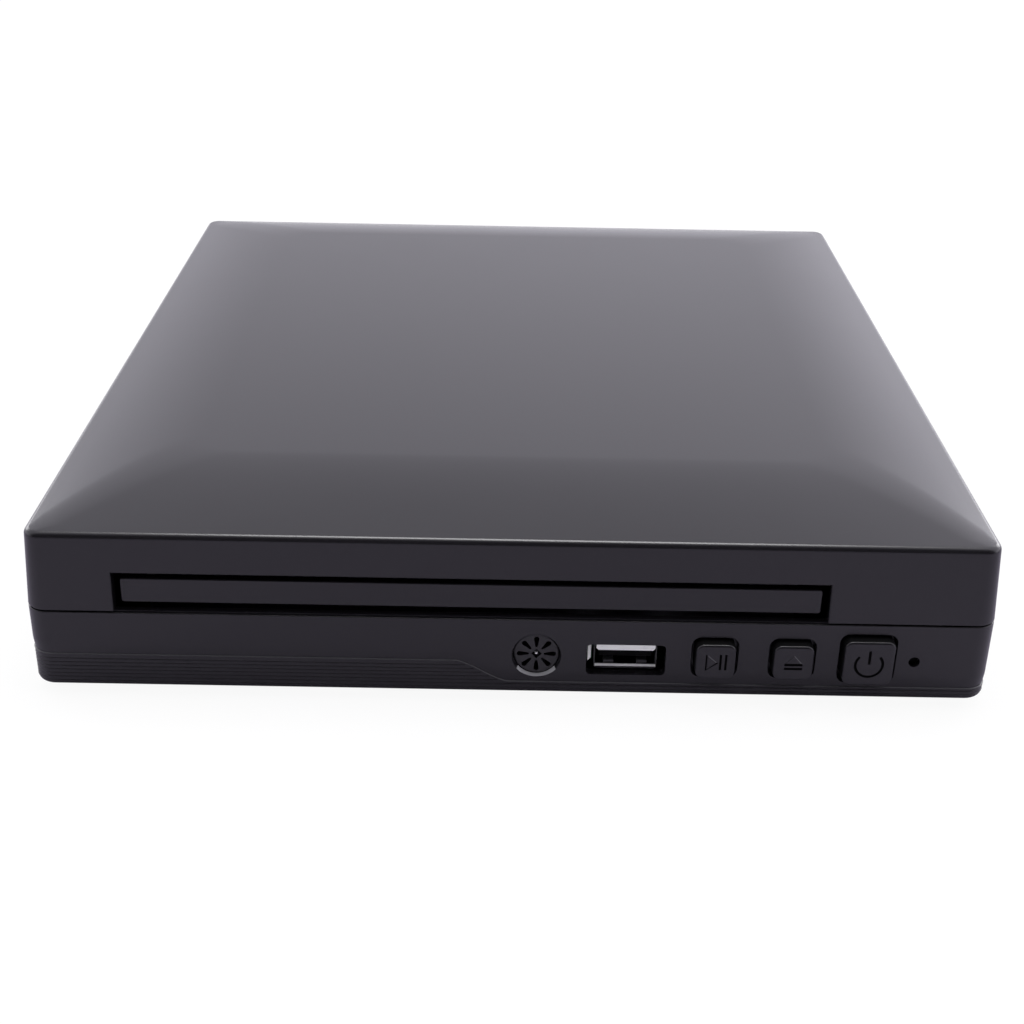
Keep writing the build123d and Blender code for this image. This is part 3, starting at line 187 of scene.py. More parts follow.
def carve(piece, *cutters):
    # each cutter, a list of solids, is taken away from the piece exactly
    for solids in cutters:
        cutter = newPiece("cutter", solids)
        change = piece.modifiers.new("carve", "BOOLEAN")
        change.operation, change.solver, change.object = "DIFFERENCE", "EXACT", cutter
        bpy.context.view_layer.update()
        evaluated = piece.evaluated_get(bpy.context.evaluated_depsgraph_get())
        mesh = bpy.data.meshes.new_from_object(evaluated)
        piece.modifiers.clear()
        piece.data = mesh
        bpy.data.objects.remove(cutter)


def addSolids(piece, solids):
    # more closed solids in the same mesh
    old = piece.data
    points = np.empty(len(old.vertices) * 3)
    old.vertices.foreach_get("co", points)
    faces = [list(face.vertices) for face in old.polygons]
    piece.data = meshFrom(piece.name, [(points / millimetre, faces), *solids])


def paintLightOrShade(piece, material, chosen):
    # faces picked by centre (x, y, z in millimetres) and normal get another material, which paints light or
    # shade on them
    mesh = piece.data
    count = len(mesh.polygons)
    centres, normals = np.empty((count, 3)), np.empty((count, 3))
    indices = np.empty(count, np.int32)
    for key, values in (("center", centres), ("normal", normals), ("material_index", indices)):
        mesh.polygons.foreach_get(key, values.ravel())
    indices[chosen(*(centres.T / millimetre), normals.T)] = len(mesh.materials)
    mesh.materials.append(material)
    mesh.polygons.foreach_set("material_index", indices)


def placePiece(piece, body, slotName, *replaced, material=None, sharp=32):
    # smooth shading with sharp edges, weighted by face size, then the finish and the ride
    mesh = piece.data
    mesh.polygons.foreach_set("use_smooth", np.ones(len(mesh.polygons), bool))
    mesh.set_sharp_from_angle(angle=math.radians(sharp))
    even = piece.modifiers.new("evenShading", "WEIGHTED_NORMAL")
    even.keep_sharp = True
    even.weight = 60
    mesh.materials.clear()
    mesh.materials.append(material or finishes[slotName])
    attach(piece, body)
    if replaced:
        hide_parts(*replaced)


# finishes: colour, roughness and bump come from one of two groups

def feed(tree, node, inputs):
    # each input takes another node's output, or a plain value
    for socket, source in inputs.items():
        if isinstance(source, bpy.types.NodeSocket):
            tree.links.new(source, node.inputs[socket])
        else:
            node.inputs[socket].default_value = source


def addNode(tree, kind, inputs=(), **settings):
    # a new shader node; its outputs come back
    node = tree.nodes.new("ShaderNode" + kind)
    for key, value in settings.items():
        setattr(node, key, value)
    feed(tree, node, dict(inputs))
    return node.outputs


def mathNode(tree, operation, *inputs):
    return addNode(tree, "Math", enumerate(inputs), operation=operation)[0]


def openGroup(name, extra):
    # a surface group with its sockets: the common inputs, the extra ones, and three outputs
    group = bpy.data.node_groups.new(name, "ShaderNodeTree")
    inputs = {"Vector": "Vector", "Colour": "Color", "Roughness": "Float", "Spread": "Float", **extra}
    outputs = {"Colour": "Color", "Roughness": "Float", "Height": "Float"}
    for way, sockets in (("INPUT", inputs), ("OUTPUT", outputs)):
        for label, kind in sockets.items():
            group.interface.new_socket(name=label, in_out=way, socket_type="NodeSocket" + kind)
    return group, group.nodes.new("NodeGroupInput").outputs


def closeGroup(group, source, clouds, mottle, height):
    # clouds about zero vary the colour and the roughness; the height is for the bump
    tint = mathNode(group, "MULTIPLY_ADD", clouds, mottle, 1)
    colour = addNode(group, "VectorMath", {0: source["Colour"], "Scale": tint}, operation="SCALE")[0]
    rough = mathNode(group, "MULTIPLY_ADD", clouds, source["Spread"], source["Roughness"])
    target = group.nodes.new("NodeGroupOutput")
    feed(group, target, {"Colour": colour, "Roughness": rough, "Height": height})
    return group


def noise(group, vector, scale, detail, **inputs):
    inputs = {"Vector": vector, "Scale": scale, "Detail": detail, **inputs}
    return addNode(group, "TexNoise", inputs)["Fac"]


def buildMouldedSurface():
    # moulded plastic: a fine grain for the height, and slow clouds
    group, source = openGroup("mouldedSurface", {"Mottle": "Float", "Grain Size": "Float"})
    grain = noise(group, source["Vector"], source["Grain Size"], 3)
    cloud = noise(group, source["Vector"], 60, 5, Roughness=0.6)
    return closeGroup(group, source, mathNode(group, "SUBTRACT", cloud, 0.5), source["Mottle"], grain)


def buildDrawnMetal():
    # sheet or turned metal: long thin streaks along one axis over slow clouds
    group, source = openGroup("drawnMetal", {"Streaks": "Vector"})
    axes = {0: source["Vector"], 1: source["Streaks"]}
    streak = noise(group, addNode(group, "VectorMath", axes, operation="MULTIPLY")[0], 1, 3)
    both = mathNode(group, "ADD", streak, noise(group, source["Vector"], 180, 4))
    return closeGroup(group, source, mathNode(group, "SUBTRACT", both, 1), 0.18, streak)


mouldedSurface = buildMouldedSurface()
drawnMetal = buildDrawnMetal()


def finish(name, group, colour, values, bump, distance, shader):
    # a Principled surface whose colour, roughness and bump come from one of the groups
    material = bpy.data.materials.new(name)
    material.use_nodes = True
    tree = material.node_tree
    place = addNode(tree, "TexCoord")["Object"]
    surface = addNode(tree, "Group", {"Vector": place, "Colour": (*colour, 1), **values}, node_tree=group)
    bumpInputs = {"Height": surface["Height"], "Strength": bump, "Distance": distance}
    normal = addNode(tree, "Bump", bumpInputs)["Normal"]
    inputs = {"Base Color": surface["Colour"], "Roughness": surface["Roughness"], "Normal": normal}
    feed(tree, tree.nodes["Principled BSDF"], {**inputs, **shader})
    return material


def plastic(name, colour, roughness, bump=0.08, distance=0.00005, mottle=0.12, spread=0.05,
            grain=2500, specular=0.5, coat=0):
    values = {"Mottle": mottle, "Roughness": roughness, "Spread": spread, "Grain Size": grain}
    shader = {"Specular IOR Level": specular, "Coat Weight": coat}
    return finish(name, mouldedSurface, colour, values, bump, distance, shader)


def metal(name, colour, roughness, streaks=(300, 6000, 6000), spread=0.2, bump=0.1, metallic=1):
    values = {"Roughness": roughness, "Spread": spread, "Streaks": streaks}
    return finish(name, drawnMetal, colour, values, bump, 0.00003, {"Metallic": metallic})


glossyBlack = (0.0088, 0.008, 0.0098)
finishes = {
    "case_plastic": plastic("glossyCase", glossyBlack, 0.26, bump=0.04, mottle=0.1, spread=0.03),
    "insert_plastic": plastic("satinInsert", (0.018, 0.017, 0.019), 0.42, bump=0.15, grain=3500),
    "button_plastic": plastic("glossyButton", glossyBlack, 0.25, bump=0.04),
    "rubber": plastic("footRubber", (0.022, 0.022, 0.023), 0.75, bump=0.35, distance=0.0001, grain=1600),
    "black_screw": metal("blackZinc", (0.05, 0.05, 0.055), 0.38, [900] * 3),
    "screw_steel": metal("zincScrew", (0.62, 0.62, 0.6), 0.32, [900] * 3),
    "clear_lens": plastic("smokedLens", (0.0012, 0.0012, 0.0012), 0.4, bump=0.02, specular=0.05),
    "circuit_board": plastic(
        "solderMask", (0.012, 0.13, 0.05), 0.35, bump=0.25, distance=0.00008, mottle=0.5, grain=900),
    "switch_plastic": plastic("switchBody", (0.03, 0.03, 0.032), 0.5),
    "component_black": plastic("chipEpoxy", (0.028, 0.028, 0.03), 0.55, bump=0.2, grain=4000),
    "socket_metal": metal("nickelSheet", (0.86, 0.86, 0.85), 0.3, spread=0.12, bump=0.06, metallic=0.25),
    "socket_plastic": plastic("socketBlack", (0.003, 0.003, 0.0032), 0.55, specular=0.06),
    "yellow_plastic": plastic("jackYellow", (0.82, 0.55, 0.02), 0.32),
    "white_plastic": plastic("jackWhite", (0.78, 0.77, 0.74), 0.32),
    "red_plastic": plastic("jackRed", (0.58, 0.02, 0.018), 0.32),
    "plated_sleeve": metal(
        "brightPlate", (0.82, 0.81, 0.79), 0.12, (4000, 300, 4000), spread=0.08, bump=0.04),
    "loader_plastic": plastic("loaderGrey", (0.06, 0.06, 0.066), 0.5, bump=0.2, grain=2200),
    "tray_plastic": plastic(
        "trayBlack", (0.022, 0.021, 0.024), 0.42, bump=0.3, distance=0.00007, grain=2600),
    "sheet_steel": metal("galvanised", (0.6, 0.61, 0.61), 0.34, [120] * 3, spread=0.3),
    "clamper_plastic": plastic("clamperBlack", (0.04, 0.04, 0.042), 0.45),
    "motor_steel": metal("motorCan", (0.6, 0.6, 0.59), 0.3, (2500, 2500, 200)),
    "belt_rubber": plastic("beltRubber", (0.02, 0.02, 0.02), 0.7, bump=0.2, grain=1800),
    "gear_plastic": plastic("acetalWhite", (0.74, 0.72, 0.66), 0.42, mottle=0.06),
    "cam_plastic": plastic("acetalGrey", (0.13, 0.13, 0.135), 0.45),
    "traverse_plastic": plastic("glassFilled", (0.035, 0.035, 0.037), 0.55, bump=0.3, grain=1500),
    "turntable_plastic": plastic("turntableBlack", (0.03, 0.03, 0.032), 0.45, bump=0.15),
    "rod_steel": metal("groundRod", (0.72, 0.72, 0.72), 0.16, (6000, 200, 6000), spread=0.1, bump=0.05),
    "pickup_metal": metal("diecast", (0.5, 0.5, 0.51), 0.42, [700] * 3),
    "lens_glass": plastic("coatedLens", (0.05, 0.07, 0.16), 0.06, bump=0.01, coat=1),
}
# materials that paint highlights and shade on single faces, and the painted shade that fills the buttons'
# signs
pinPaintedGlint = metal("pinPaintedGlint", (0.85, 0.85, 0.85), 0.2, spread=0.05, bump=0.02, metallic=0.5)
bevelPaintedHighlight = plastic("bevelPaintedHighlight", (0.42, 0.42, 0.425), 0.25, bump=0.02, mottle=0.04)
ledgePaintedHighlight = plastic("ledgePaintedHighlight", (0.05, 0.05, 0.052), 0.4, bump=0.02, mottle=0.04)
shadedSheet = metal("shadedSheet", (0.07, 0.07, 0.072), 0.4, spread=0.12, bump=0.06, metallic=0.4)
signPaintedShade = plastic("signPaintedShade", (0.0015, 0.0015, 0.0016), 0.8, specular=0.05)
capSidePaintedShade = plastic("capSidePaintedShade", (0.003, 0.003, 0.0032), 0.6, specular=0.16)
for part in frame["record"]["subparts"]:
    cadObject = nodes[part["node"]]
    material = finishes[part["material_slot"]]
    if cadObject.material_slots:
        for materialSlot in cadObject.material_slots:
            materialSlot.material = material
    else:
        cadObject.data.materials.append(material)
print("finishes made:", len(finishes))

# top cover
cover = {
    "crownRows": 22, "filletSteps": 8, "filletEnd": 80, "lipRound": 0.22, "flatInset": 6,
    "wallMargin": 0.3, "innerShares": (0, 0.3, 0.6, 0.85, 1), "innerDrop": 3,
    "slotX": -8.25, "slotWidth": 144.9, "slotHeight": 8.5, "slotFlare": 0.22, "slotBelow": 5,
    "postRadius": 4, "postEase": 0.3, "postTop": 36.8, "bore": 1.45, "boreEase": 0.4, "boreDepth": 10,
    "screwSpots": ((-88.5, -99.25), (-88.5, 92.75), (88.5, -99.25), (88.5, 92.75)),
}


def crownRings(columns, shareLeft, wallInset, drop):
    # rings of the crowned roof: t, the share of the bevel still to climb, runs from 1 at the rim
    # to 0 on the flat; the rise is 1 - t squared, and each side's inset follows its own power
    t = np.asarray(shareLeft, float)
    edge = case["draft"] + case["rimRound"]
    side = edge + case["sideBevel"] * (1 - t ** (2 / case["sidePower"]))
    front = edge + case["frontBevel"] * (1 - t ** (2 / case["frontPower"]))
    back = edge + case["backBevel"] * (1 - t ** (2 / case["sidePower"]))
    rise = 1 - t ** 2
    radius = case["corner"] + (case["flatCorner"] - case["corner"]) * rise - wallInset
    halfWidth, halfDepth = caseHalf[0] - side - wallInset, caseHalf[1] - (front + back) / 2 - wallInset
    x, y = roundedRings(columns, halfWidth, halfDepth, np.maximum(radius, 1))
    z = np.broadcast_to((case["rimZ"] - drop + case["crown"] * rise)[:, None], x.shape)
    return np.stack([x, y + centreY + ((front - back) / 2)[:, None], z], -1)


def wallRings(columns, inset, height):
    # rings of the side walls at given insets and heights
    inset, height = np.asarray(inset, float), np.asarray(height, float)
    radius = np.maximum(case["corner"] - inset, 0.8)
    x, y = roundedRings(columns, caseHalf[0] - inset, caseHalf[1] - inset, radius)
    return np.stack([x, y + centreY, np.broadcast_to(height[:, None], x.shape)], -1)


def makeTopCover():
    columns = loopColumns(10, alongSide(13), alongSide(13))
    rim, rimRound, draft, parting = (case[key] for key in ("rimZ", "rimRound", "draft", "partingZ"))
    lip, margin, drop = cover["lipRound"], cover["wallMargin"], cover["innerDrop"]
    slope = draft / (rim - rimRound - parting)
    flatRing = crownRings(columns, [0], cover["flatInset"], 0)
    crown = crownRings(columns, np.linspace(0, 1, cover["crownRows"] + 1), 0, 0)
    turn = sweep(cover["filletEnd"], 0, cover["filletSteps"] + 1)
    filletInset = draft + rimRound - rimRound * np.cos(turn)
    fillet = wallRings(columns, filletInset, rim - rimRound * (1 - np.sin(turn)))
    turn = sweep(0, 90, 5)
    straight = np.array([rim - rimRound - margin, parting + lip + margin])
    outerInset = np.concatenate([slope * (straight - parting), lip * (1 - np.cos(turn))])
    outer = wallRings(columns, outerInset, np.concatenate([straight, parting + lip * (1 - np.sin(turn))]))
    innerWall = wallRings(columns, [case["wall"] + draft] * 2, [parting, rim - drop])
    innerRoof = crownRings(columns, np.sqrt(1 - np.array(cover["innerShares"])), case["wall"], case["roof"])
    rings = np.concatenate([flatRing, crown[:-1], fillet, outer, innerWall, innerRoof])
    piece = newPiece("topCover", [stack(rings)])
    # the slot's cutter leans with the drafted wall, and opens a little at its outer edge
    flare, half = cover["slotFlare"], cover["slotWidth"] / 2
    cutterRings = []
    for grow, depth in ((1.5, -1.5), (flare, 0), (0, flare), (0, 4)):
        left, right = cover["slotX"] - half - grow, cover["slotX"] + half + grow
        low, high = parting - cover["slotBelow"], parting + cover["slotHeight"] + grow
        x, z = np.array([(left, low), (right, low), (right, high), (left, high)]).T
        cutterRings.append(np.stack([x, frontY + depth + slope * (z - parting), z], 1))
    carve(piece, [stack(cutterRings)])
    bore, boreEase, radius, ease = (cover[key] for key in ("bore", "boreEase", "postRadius", "postEase"))
    post = [
        (bore, cover["boreDepth"]), (bore, boreEase), (bore + boreEase, 0), (radius - ease, 0),
        (radius, ease), (radius, cover["postTop"] - parting),
    ]
    addSolids(piece, [lathe((x, y, parting), post, 32, "below") for x, y in cover["screwSpots"]])
    placePiece(piece, "case", "case_plastic", "top_cover")


makeTopCover()
print("top cover made")

# bottom case
bottom = {
    "bandSetback": 0.16, "gapHeight": 0.32, "gapDepth": 0.6, "bandLeft": 9.7, "bandRight": 4.85,
    "slopeStart": -11.3, "slopeEnd": -0.8, "edgeRound": 1.2, "lipRound": 0.18,
    "wallShares": (0.04, 0.35, 0.7, 0.96), "ledgeFrom": 2.7, "bandFrom": -0.28, "bandShares": (0.5, 0.9),
    # (inset, height over the band's edge) of the ledge, then of the step back to the band
    "ledge": ((0, 2.6), (0.05, 1.9), (0.22, 0.35), (0.25, 0.19), (0.24, 0.13), (0.12, 0.07), (0.02, 0.01),
              (0, -0.04), (0.02, -0.1), (0.14, -0.16), (0.16, -0.24)),
    "ribTop": 8.55, "ribStep": 0.88, "ribCount": 7, "ribWidth": 0.34, "ribProud": 0.1, "ribSunk": 0.12,
    "ribClear": 0.3, "ribStop": 0.35,
    "footSpots": ((-77, -87.75), (-77, 81.25), (77, -87.75), (77, 81.25)),
    "ventCount": 9, "ventStep": 6, "ventWidth": 2, "ventLength": 26, "ventY": 81.25,
    "ventEdge": ((-1.2, -1), (-0.2, 0), (0, 0.2), (0, 3)),
    "footSeat": ((7.2, -1), (6.2, 0), (6.05, 0.15), (6.05, 0.8)),
    "screwSeat": ((4.5, -1), (3.4, 0), (3.2, 0.2), (3.2, 2)),
    "loaderSpots": ((-78.85, -73.75), (62.35, -73.75), (-78.85, 48.25), (62.35, 48.25)),
    "boardSpots": ((18, -85.75), (48, -85.75), (88, -85.75), (-86, 66.25), (86, 66.25)),
    # top, bore, its depth, radius, eased edge, length and steps: under cover, loader and boards
    "posts": (
        (20, 1.45, 15.9, 4, 0.2, 15.9, 32), (15.4, 1.45, 9, 4, 0.2, 11.5, 32),
        (5.65, 1.25, 1.3, 2.5, 0.1, 1.75, 24),
    ),
}
fronts = {
    "insert": (5.2, 11.2), "usb": (23.6, 10.1), "usbHoleZ": 10.5, "usbHole": (16.2, 7.05, 0.9),
    # x, z, width and height of the three caps
    "play": (41.8, 11.5, 8.2, 8), "eject": (57.7, 11.5, 8.2, 8), "power": (73.1, 11.7, 10.4, 10.2),
    "capGap": 0.6, "capCorner": 1.6, "light": (82.8, 11.2), "lightRadius": 1.1,
}
rears = {
    "jackXs": (-20, -35, -50), "jackZ": 12.6, "jackRadius": 4.15, "gap": 0.3,
    "hdmi": (42, 10.05), "hdmiSize": (15, 5.6), "inlet": (74, 13), "inletRadius": 4,
}
insert = {
    "radius": 4.55, "clearance": 0.12, "setback": 0.85, "bevel": 0.42, "depth": 5, "slots": 8,
    "inner": 1.5, "outer": 4.05, "wide": 1.12, "narrow": 0.5, "slotDepth": 3.2, "edge": 0.12,
    "flange": 6.1, "flangeDepth": 1.2, "middle": 0.6, "bore": 1, "centreDepth": 1.6,
    "diamond": ((1.1, 0), (0, 1.15), (-1.1, 0), (0, -1.15)),
    "pin": ((0.03, 0), (0.22, 0.07), (0.34, 0.3), (0.38, 1.6)), "pinSetback": 0.05,
}


def bandTopAt(x):
    # the band's top edge: high on the left, low on the right, with a soft-ended slope between
    length = bottom["slopeEnd"] - bottom["slopeStart"]
    share = np.clip((np.asarray(x, float) - bottom["slopeStart"]) / length, 0, 1)
    eased = share + 0.5 * (share ** 2 * (3 - 2 * share) - share)
    return bottom["bandLeft"] + (bottom["bandRight"] - bottom["bandLeft"]) * eased


def bottomRings():
    # columns crowd where the band's edge slopes
    frontX = np.concatenate([np.linspace(-90, -16, 6), np.linspace(-12.3, 0.2, 26), np.linspace(6, 90, 7)])
    columns = loopColumns(8, frontX / (caseHalf[0] - case["corner"]), alongSide(9))
    parting, foot, floorTop, wall = (case[key] for key in ("partingZ", "footHeight", "floorTop", "wall"))
    lip, setback, edgeRound = (bottom[key] for key in ("lipRound", "bandSetback", "edgeRound"))
    inner = wallRings(columns, [wall + 2, wall, wall, wall], [floorTop, floorTop, floorTop + 0.4, parting])
    # a shallow rebate under the cover's edge makes the dark parting line
    gapTop = parting - bottom["gapHeight"]
    rebate = wallRings(columns, [bottom["gapDepth"]] * 2, [parting, gapTop])
    turn = sweep(90, 0, 5)
    edge = wallRings(columns, lip * (1 - np.cos(turn)), gapTop - lip * (1 - np.sin(turn)))
    bandTop = bandTopAt(edge[-1, :, 0])

    def ringAt(inset, height):
        ring = wallRings(columns, [inset], [0])[0]
        ring[:, 2] = height
        return ring

    def ringsBetween(inset, upper, lower, shares):
        return [ringAt(inset, upper * (1 - share) + lower * share) for share in shares]

    rows = ringsBetween(0, gapTop - lip, bandTop + bottom["ledgeFrom"], bottom["wallShares"])
    # the wall leans in a little, and a fine ledge that faces up catches the light over the band
    rows += [ringAt(inset, bandTop + lift) for inset, lift in bottom["ledge"]]
    rows += ringsBetween(setback, bandTop + bottom["bandFrom"], foot + edgeRound, bottom["bandShares"])
    turn = sweep(0, 90, 9)
    lowInset = setback + edgeRound * (1 - np.cos(turn))
    lowEdge = wallRings(columns, lowInset, foot + edgeRound * (1 - np.sin(turn)))
    return np.concatenate([inner, rebate, edge, np.array(rows), lowEdge])


def through(x, z, outline, flare, side="front"):
    # a hole through the front or rear wall, with its outer edge eased
    y = frontY if side == "front" else case["rearY"]
    profile = [(-1 - flare, -1), (-flare, 0), (-flare * 0.3, flare * 0.35), (0, flare), (0, 3)]
    return plug((x, y, z), outline, profile, side)


def makeBottomCase():
    piece = newPiece("bottomCase", [stack(bottomRings())])
    foot = case["footHeight"]
    insertX, insertZ = fronts["insert"]
    setback, bevel = insert["setback"], insert["bevel"]
    opening = [(-bevel * 2, -setback), (-bevel, 0), (0, setback), (0, 3)]
    outline = circleOf(insert["radius"] + insert["clearance"], 96)
    cutters = [
        plug((insertX, frontY, insertZ), outline, opening),
        through(fronts["usb"][0], fronts["usbHoleZ"], outlineOf(*fronts["usbHole"]), 0.2),
    ]
    for key in ("play", "eject", "power"):
        x, z, width, height = fronts[key]
        sizes = (width + 2 * fronts["capGap"], height + 2 * fronts["capGap"], fronts["capCorner"] + 0.2)
        cutters.append(through(x, z, outlineOf(*sizes), 0.25))
    cutters.append(through(*fronts["light"], circleOf(fronts["lightRadius"] + 0.05, 32), 0.06))
    gap = rears["gap"]
    for x in rears["jackXs"]:
        cutters.append(through(x, rears["jackZ"], circleOf(rears["jackRadius"] + gap), 0.2, "rear"))
    width, height = (length + 2 * gap for length in rears["hdmiSize"])
    cutters.append(through(*rears["hdmi"], outlineOf(width, height, 0.5, 4), 0.2, "rear"))
    cutters.append(through(*rears["inlet"], circleOf(rears["inletRadius"] + gap), 0.2, "rear"))
    slot = outlineOf(bottom["ventWidth"], bottom["ventLength"], bottom["ventWidth"] / 2 - 0.01, 5)
    for k in range(bottom["ventCount"]):
        x = (k - (bottom["ventCount"] - 1) / 2) * bottom["ventStep"]
        cutters.append(plug((x, bottom["ventY"], foot), slot, bottom["ventEdge"], "below"))
    cutters += [lathe((x, y, foot), bottom["footSeat"], 48, "below") for x, y in bottom["footSpots"]]
    cutters += [lathe((x, y, foot), bottom["screwSeat"], 32, "below") for x, y in cover["screwSpots"]]
    carve(piece, *([cutter] for cutter in cutters))
    posts = []
    allSpots = (cover["screwSpots"], bottom["loaderSpots"], bottom["boardSpots"])
    for spots, post in zip(allSpots, bottom["posts"]):
        top, bore, boreDepth, radius, ease, length, steps = post
        profile = [(bore, boreDepth), (bore, 0), (radius - ease, 0), (radius, ease), (radius, length)]
        posts += [lathe((x, y, top), profile, steps, "above") for x, y in spots]
    addSolids(piece, posts)
    placePiece(piece, "case", "case_plastic", "bottom_case")
    # painted highlight: the lower bevel of the insert's hole gets a light grey colour, standing in for the
    # light that falls on it
    paintLightOrShade(piece, bevelPaintedHighlight, lambda x, y, z, normal: (
        (np.hypot(x - insertX, z - insertZ) < 5.2) & (z < insertZ - 3.1) & (y < frontY + setback)
        & (np.abs(normal[1] + 0.5) < 0.42)))
    # painted highlight: the up-facing faces of the ledge over the band get a lighter colour, standing in for
    # the light line along it
    paintLightOrShade(piece, ledgePaintedHighlight, lambda x, y, z, normal: (
        (normal[2] > 0.3) & (np.abs(z - bandTopAt(x) - 0.05) < 0.13)))


def makeBandRibs():
    # each rib is a flat half round carried round the band at one height; the upper ones stop
    # where the band's edge slopes down across the front and the back
    reach, proud, sunk = bottom["ribWidth"] / 2, bottom["ribProud"], bottom["ribSunk"]
    profile = np.array([
        (-sunk, -reach), (0, -reach), (proud * 0.8, -reach * 0.5), (proud, 0),
        (proud * 0.8, reach * 0.5), (0, reach), (-sunk, reach),
    ])
    edgeRound = bottom["edgeRound"]
    slopeX = np.linspace(bottom["slopeStart"], bottom["slopeEnd"], 200)
    columns = loopColumns(8, alongSide(5), alongSide(5))
    solids = []
    for k in range(bottom["ribCount"]):
        z = bottom["ribTop"] - k * bottom["ribStep"]
        whole = z + reach + bottom["ribClear"] < bottom["bandRight"]
        under = max(case["footHeight"] + edgeRound - z, 0)  # ribs on the lower round follow it inwards
        inset = bottom["bandSetback"] + edgeRound - math.sqrt(edgeRound ** 2 - under ** 2)
        x, y = roundedRings(columns, [caseHalf[0] - inset], [caseHalf[1] - inset], [case["corner"] - inset])
        path = np.stack([x[0], y[0] + centreY], 1)
        outward = columns[2:].T
        if not whole:
            # start on the back at the slope, go round the left side, and end on the front
            stopX = slopeX[np.searchsorted(-bandTopAt(slopeX), -(z + reach + bottom["ribStop"]))]
            keep = path[:, 0] < stopX - 1
            order = np.roll(np.arange(len(path)), -np.argmax(~keep))
            order = order[keep[order]]
            path, outward = path[order], outward[order]
            path = np.concatenate([[(stopX, path[0, 1])], path, [(stopX, path[-1, 1])]])
            outward = np.concatenate([[(0, 1)], outward, [(0, -1)]])
        points = np.empty((len(path), len(profile), 3))
        points[..., :2] = path[:, None] + outward[:, None] * profile[None, :, :1]
        points[..., 2] = z + profile[None, :, 1]
        solids.append(stack(points, closed=whole))
    placePiece(newPiece("bandRibs", solids), "case", "case_plastic", sharp=70)


makeBottomCase()
makeBandRibs()
print("bottom case made")

# tray door, insert and light
door = {
    "width": 141.8, "height": 5.5, "thickness": 2, "setback": 1.2, "bottomZ": 21.6, "corner": 0.6,
    "round": 0.28, "backEdge": 0.1,
}
light = {
    "setback": 1.3, "bulge": 0.12, "neck": 1.2, "pipeRadius": 1.5, "pipeEnd": 7.7,
    "lamp": (3, 3, 0.2, 2), "lampSetback": 10.5, "lampDrop": 0.85, "lampDepths": ((0, -1.9), (0, 3.1)),
}


def makeTrayDoor():
    thickness, backEdge = door["thickness"], door["backEdge"]
    outline = outlineOf(door["width"], door["height"], door["corner"], 5)
    origin = (cover["slotX"], frontY + door["setback"], door["bottomZ"] + door["height"] / 2)
    profile = roundedFace(door["round"], 5, 0.6, 0.3) + [(0, thickness - backEdge), (backEdge, thickness)]
    piece = newPiece("trayDoor", [plug(origin, outline, profile)])
    placePiece(piece, "tray", "case_plastic", "tray_door")


def makeInsert():
    insertX, insertZ = fronts["insert"]
    radius, edge, setback, flange = (insert[key] for key in ("radius", "edge", "setback", "flange"))
    face = frontY + setback
    origin = (insertX, face, insertZ)
    behind, back = case["wall"] - setback + 0.02, insert["depth"] - setback
    flangeBack = behind + insert["flangeDepth"]
    piece = newPiece("frontInsert", [lathe(origin, [
        (insert["middle"], 0), (radius - edge - 0.3, 0), (radius - edge, 0.01),
        (radius - edge * 0.3, edge * 0.3), (radius, edge), (radius, behind), (flange, behind),
        (flange, flangeBack), (radius, flangeBack), (radius, back), (insert["bore"], back),
    ], 96)])
    # tear-shaped slots, wide and round at the outer end, that narrow towards the middle
    turn = sweep(-90, 90, 9)
    wide, narrow = insert["wide"] / 2, insert["narrow"] / 2
    outerEnd = np.stack([insert["outer"] - wide + wide * np.cos(turn), wide * np.sin(turn)], 1)
    innerEnd = np.stack([insert["inner"] + narrow - narrow * np.cos(turn), -narrow * np.sin(turn)], 1)
    outline = np.concatenate([outerEnd, innerEnd])
    slots = []
    for k in range(insert["slots"]):
        angle = 2 * math.pi * k / insert["slots"]
        cos, sin = math.cos(angle), math.sin(angle)
        spun = outline @ [(cos, sin), (-sin, cos)]
        slots.append(prism(origin, spun, (-1, insert["slotDepth"])))
    centre = prism(origin, insert["diamond"], (-1, insert["centreDepth"]))
    carve(piece, slots, [centre])
    pinOrigin = (insertX, face + insert["pinSetback"], insertZ)
    addSolids(piece, [lathe(pinOrigin, insert["pin"], 20)])
    placePiece(piece, "case", "insert_plastic", "blanking_insert")
    # painted highlight: the front of the centre pin gets a light, half-metal colour, standing in for a glint
    paintLightOrShade(piece, pinPaintedGlint, lambda x, y, z, normal: (
        (np.hypot(x - insertX, z - insertZ) < 0.42) & (y < face + 1.5) & (normal[1] < -0.02)))


def makeLight():
    # a light pipe with a flat dome, and the lamp behind it
    x, z = fronts["light"]
    radius, pipe, neck = fronts["lightRadius"], light["pipeRadius"], light["neck"]
    turn = sweep(4, 90, 7)
    profile = [(radius * math.sin(a), radius * light["bulge"] * (1 - math.cos(a))) for a in turn]
    profile += [(radius, neck), (pipe, neck), (pipe, light["pipeEnd"])]
    lampOrigin = (x, frontY + light["lampSetback"], z - light["lampDrop"])
    piece = newPiece("lightLens", [
        lathe((x, frontY + light["setback"], z), profile, 32),
        plug(lampOrigin, outlineOf(*light["lamp"]), light["lampDepths"], "above"),
    ])
    placePiece(piece, "case", "clear_lens", "indicator_light")


makeTrayDoor()
makeInsert()
makeLight()

# buttons: their signs are carved in and filled with a near-black painted shade, and two have a raised part
buttons = {
    "reach": 1.87, "edge": 0.55, "skirt": 3, "skirtRise": 1,
    "skirtProfile": ((0.1, 0), (0, 0.1), (0, 1)), "plunger": 1.5, "plungerEnd": 8.8,
    "line": 0.56, "carving": 0.34, "shadeFill": 0.14, "thinLine": 0.3,
    "raise": 0.12, "raisedTop": 0.86, "bar": 3.7, "playRaised": ((-1.72, -1.45), (0.15, 0.05), (-1.72, 1.7)),
    "ejectRaised": ((-1.75, 0), (1.75, 0), (0, 1.95)),
}


def barIcon(cap, x, z, width, height, depths):
    return prism(cap, rectangle(x, z, width, height), depths)


